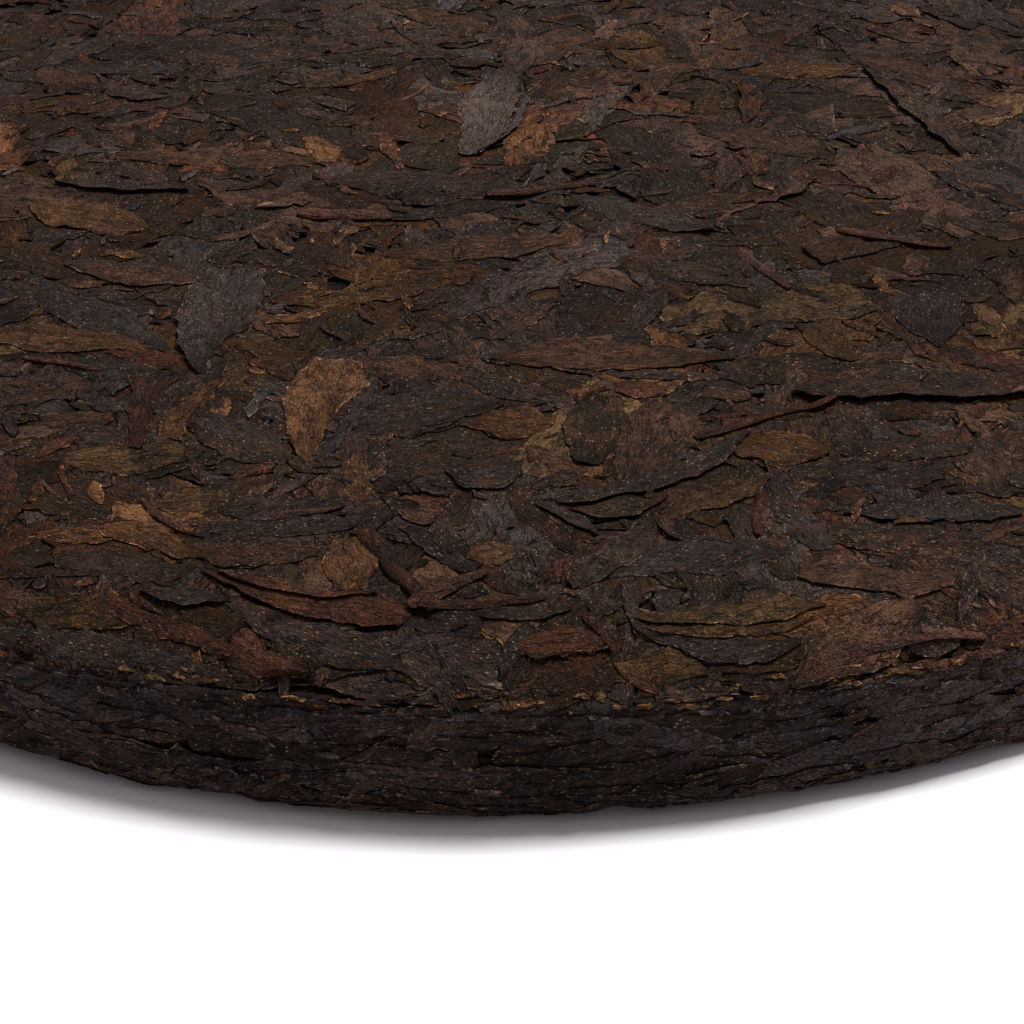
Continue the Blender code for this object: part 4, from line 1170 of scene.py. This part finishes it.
def leaf_finish(name, look):
    """Mottled, crazed, fibrous leaf in its kind's colours, with painted glints, painted shade and painted
    light.
    """
    finish, start, shader = new_finish(name)
    along, across, edge, tone, grain = (start.fact(fact) for fact in FACTS)
    place = start.vector(along + grain * 13, across + grain * 7, 0.0)
    lengthwise = start.vector(along * 0.22 + grain * 13, across + grain * 7, 0.0)
    mottling = start.noise(place, 0.9, 4.0, 0.70)
    patches = start.noise(place, 0.24, 5.0, 0.72).between(0.49, 0.57)
    fibres = start.noise(lengthwise, 3.4, 3.0, 0.65)
    grit = start.noise(place, 3.6, 1.5, 0.7)
    warped = start.vector(along * 0.6 + mottling * 3.2 + grain * 11, across + mottling * 2.4 + grain * 5, 0.0)
    chips = start.cells(warped, 0.9).other("Color")
    crazing = 1 - start.cells(warped, 0.9, "DISTANCE_TO_EDGE").between(0.0, 0.10)
    folds = start.noise(start.vector(along * 0.30 + grain * 9, across * 0.9 + grain * 5, 0.0), 0.8, 2.5, 0.6)
    folds = 1 - abs(folds - 0.5).between(0.0, 0.030)
    # Painted shade for the crazing lines and folds
    painted_crease_shade = (crazing * 0.8 + folds).at_most(1.0)
    # Painted glints: pale specks where light would catch, also made a little less rough
    dashes = start.vector(along * 0.42 + grain * 3, across + grain * 17 + mottling * 0.5, 0.0)
    painted_glints = start.cells(dashes, 2.9)
    lit = (painted_glints.other("Color") + grit * 0.6 + patches * 0.16 + mottling * 0.5 - 0.63).between(0.58, 0.88)
    painted_glints = (1 - painted_glints.between(0.07, 0.24)) * lit

    lightness = tone * 1.5 + mottling * 1.4 + (chips - 0.5) * (0.65 * look.chipping) - 0.93
    dark, middle, light, patch = ((*colour, 1.0) for colour in look[:4])
    colour = start.mix(lightness.between(0.0, 0.5), dark, middle)
    colour = start.mix(lightness.between(0.5, 1.0), colour, light)
    colour = start.mix(patches * (0.85 * look.patchiness), colour, patch)
    warmth = start.math("FRACT", grain) - 0.5
    colour = start.mix(1.0, colour, start.vector(1 + warmth * 0.16, 1.0, 1 - warmth * 0.22), "MULTIPLY")
    on_cake = start.node("ShaderNodeTexCoord", give="Object")
    clouds = start.noise(on_cake, CLOUDS_PER_METRE, 2.0, 0.5, "3D")
    # Fibres, grit and clouds vary the leaf's own tone; the painted shade and painted light are multiplied in
    # next
    tone_and_painted_light = (fibres - 0.5) * (1.1 * look.fibre) + (grit - 0.5) * 1.4 + clouds * 1.85 + 0.04
    # Painted shade in the crazing lines and folds, then the painted sheen and the paler or darker patches
    tone_and_painted_light = tone_and_painted_light * (1 - painted_crease_shade * 0.75) * sheen_at(on_cake)
    # Painted light and shade along the edges: a painted highlight where the mottling is high, painted shade
    # where it is low
    painted_edge_light_and_shade = 1 - edge.between(0.0, EDGE_BAND)
    tone_and_painted_light = tone_and_painted_light * (1 + painted_edge_light_and_shade * (mottling.between(0.5, 0.62) * 3.0 - 0.7))
    tone_and_painted_light = tone_and_painted_light.at_least(DARKEST)
    colour = start.mix(1.0, colour, start.vector(tone_and_painted_light, tone_and_painted_light, tone_and_painted_light), "MULTIPLY")
    # Mixes the painted glints into the colour
    colour = start.mix(painted_glints * (0.70 * look.speckle), colour, PAINTED_GLINT_COLOUR)
    feed(colour, shader, "Base Color")
    feed(0.78 - mottling * 0.35 - painted_glints * 0.3, shader, "Roughness")
    bumps = fibres * (0.6 * look.fibre) + mottling * 1.3 + grit * 0.50 + chips * (0.3 * look.chipping)
    bumps = bumps - folds * 0.35
    sockets = {"Height": bumps, "Strength": 1.0, "Distance": BUMP_DEPTH}
    feed(start.node("ShaderNodeBump", None, sockets), shader, "Normal")
    shader.inputs["Specular IOR Level"].default_value = LEAF_SPECULAR
    return finish


for kind, look in LOOKS.items():
    pieces[kind].data.materials.append(leaf_finish(f"{kind}_skin", look))

# %% The core's finish: crumbs painted dark, as painted shade between the leaves
CRUMBS_PER_METRE = 900.0
# Crumb colours far darker than any leaf: painted shade in the gaps
SHADED_CRUMB_DARK = (0.003, 0.0018, 0.0014, 1)
SHADED_CRUMB_LIGHT = (0.014, 0.008, 0.005, 1)
CRUMB_DEPTH = 0.5 * MM
CORE_SPECULAR = 0.05

core_finish, start, shader = new_finish("pressed_crumbs")
place = start.node("ShaderNodeTexCoord", give="Object")
crumbs = start.noise(place, CRUMBS_PER_METRE, 4.0, 0.6, "3D")
shaded_crumb_colour = start.mix(crumbs.between(0.35, 0.7), SHADED_CRUMB_DARK, SHADED_CRUMB_LIGHT)
feed(shaded_crumb_colour, shader, "Base Color")
feed(0.85 - crumbs * 0.2, shader, "Roughness")
sockets = {"Height": crumbs, "Strength": 1.0, "Distance": CRUMB_DEPTH}
feed(start.node("ShaderNodeBump", None, sockets), shader, "Normal")
shader.inputs["Specular IOR Level"].default_value = CORE_SPECULAR
core.data.materials.append(core_finish)
print(len(LOOKS) + 1, "finishes are made")

# %% [markdown]
# ## The camera, the floor and the light
#
# The photograph is a close-up with a long lens from about 29 degrees above the table. Its edges cut the
# cake off on three sides. The light is a large soft one above and behind the cake, so the top has a faint
# sheen, the rim is dark, and a short soft shadow falls towards the camera on a white table.

# %% The camera
CAMERA_ELEVATION = 29.4
CAMERA_DISTANCE = 413.0
CAMERA_LENS = 154.7
SENSOR_WIDTH = 36.0
LOOK_AT = Vector((0.6, -61.6, 10.0)) * MM

camera = bpy.data.objects.new("camera", bpy.data.cameras.new("camera"))
bpy.context.scene.collection.objects.link(camera)
tilt = math.radians(CAMERA_ELEVATION)
camera.location = LOOK_AT + Vector((0, -math.cos(tilt), math.sin(tilt))) * CAMERA_DISTANCE * MM
camera.rotation_euler = (math.radians(90) - tilt, 0, 0)
camera.data.lens = CAMERA_LENS
camera.data.sensor_width = SENSOR_WIDTH
camera.data.clip_start = 0.01
bpy.context.scene.camera = camera
print("the camera is", CAMERA_DISTANCE, "mm from what it looks at")

# %% The floor
FLOOR_HALF = 3.0
FLOOR_COLOUR = (0.86, 0.86, 0.87, 1)
FLOOR_ROUGHNESS = 0.7

floor_mesh = bpy.data.meshes.new("floor")
floor_corners = [(x * FLOOR_HALF, y * FLOOR_HALF, 0) for x, y in ((-1, -1), (1, -1), (1, 1), (-1, 1))]
floor_mesh.from_pydata(floor_corners, [], [(0, 1, 2, 3)])
floor = bpy.data.objects.new("floor", floor_mesh)
bpy.context.scene.collection.objects.link(floor)
floor_finish, start, shader = new_finish("pale_floor")
shader.inputs["Base Color"].default_value = FLOOR_COLOUR
shader.inputs["Roughness"].default_value = FLOOR_ROUGHNESS
floor_mesh.materials.append(floor_finish)
print("the floor is", 2 * FLOOR_HALF, "m wide")


# %% The light
SOFTBOX_PLACE = (0.31, 0.21, 0.87)
SOFTBOX_AIM = (0, -0.05, 0)
SOFTBOX_SIZE = 0.40
SOFTBOX_POWER = 13.9
WORLD_TINT = (1.0, 0.90, 0.97, 1)
WORLD_STRENGTH = 0.36


def softbox(name, place, aim, size, power):
    """A square area light that faces a point, with its place and size in metres."""
    light = bpy.data.lights.new(name, "AREA")
    light.shape, light.size, light.energy = "SQUARE", size, power
    lamp = bpy.data.objects.new(name, light)
    lamp.location = place
    lamp.rotation_euler = (Vector(place) - Vector(aim)).to_track_quat("Z", "Y").to_euler()
    bpy.context.scene.collection.objects.link(lamp)


softbox("softbox_above", SOFTBOX_PLACE, SOFTBOX_AIM, SOFTBOX_SIZE, SOFTBOX_POWER)
world = bpy.data.worlds.new("studio")
bpy.context.scene.world = world
world.use_nodes = True
world.node_tree.nodes["Background"].inputs["Color"].default_value = WORLD_TINT
world.node_tree.nodes["Background"].inputs["Strength"].default_value = WORLD_STRENGTH
bpy.context.scene.view_settings.view_transform = "Standard"
print("lit from above and behind")
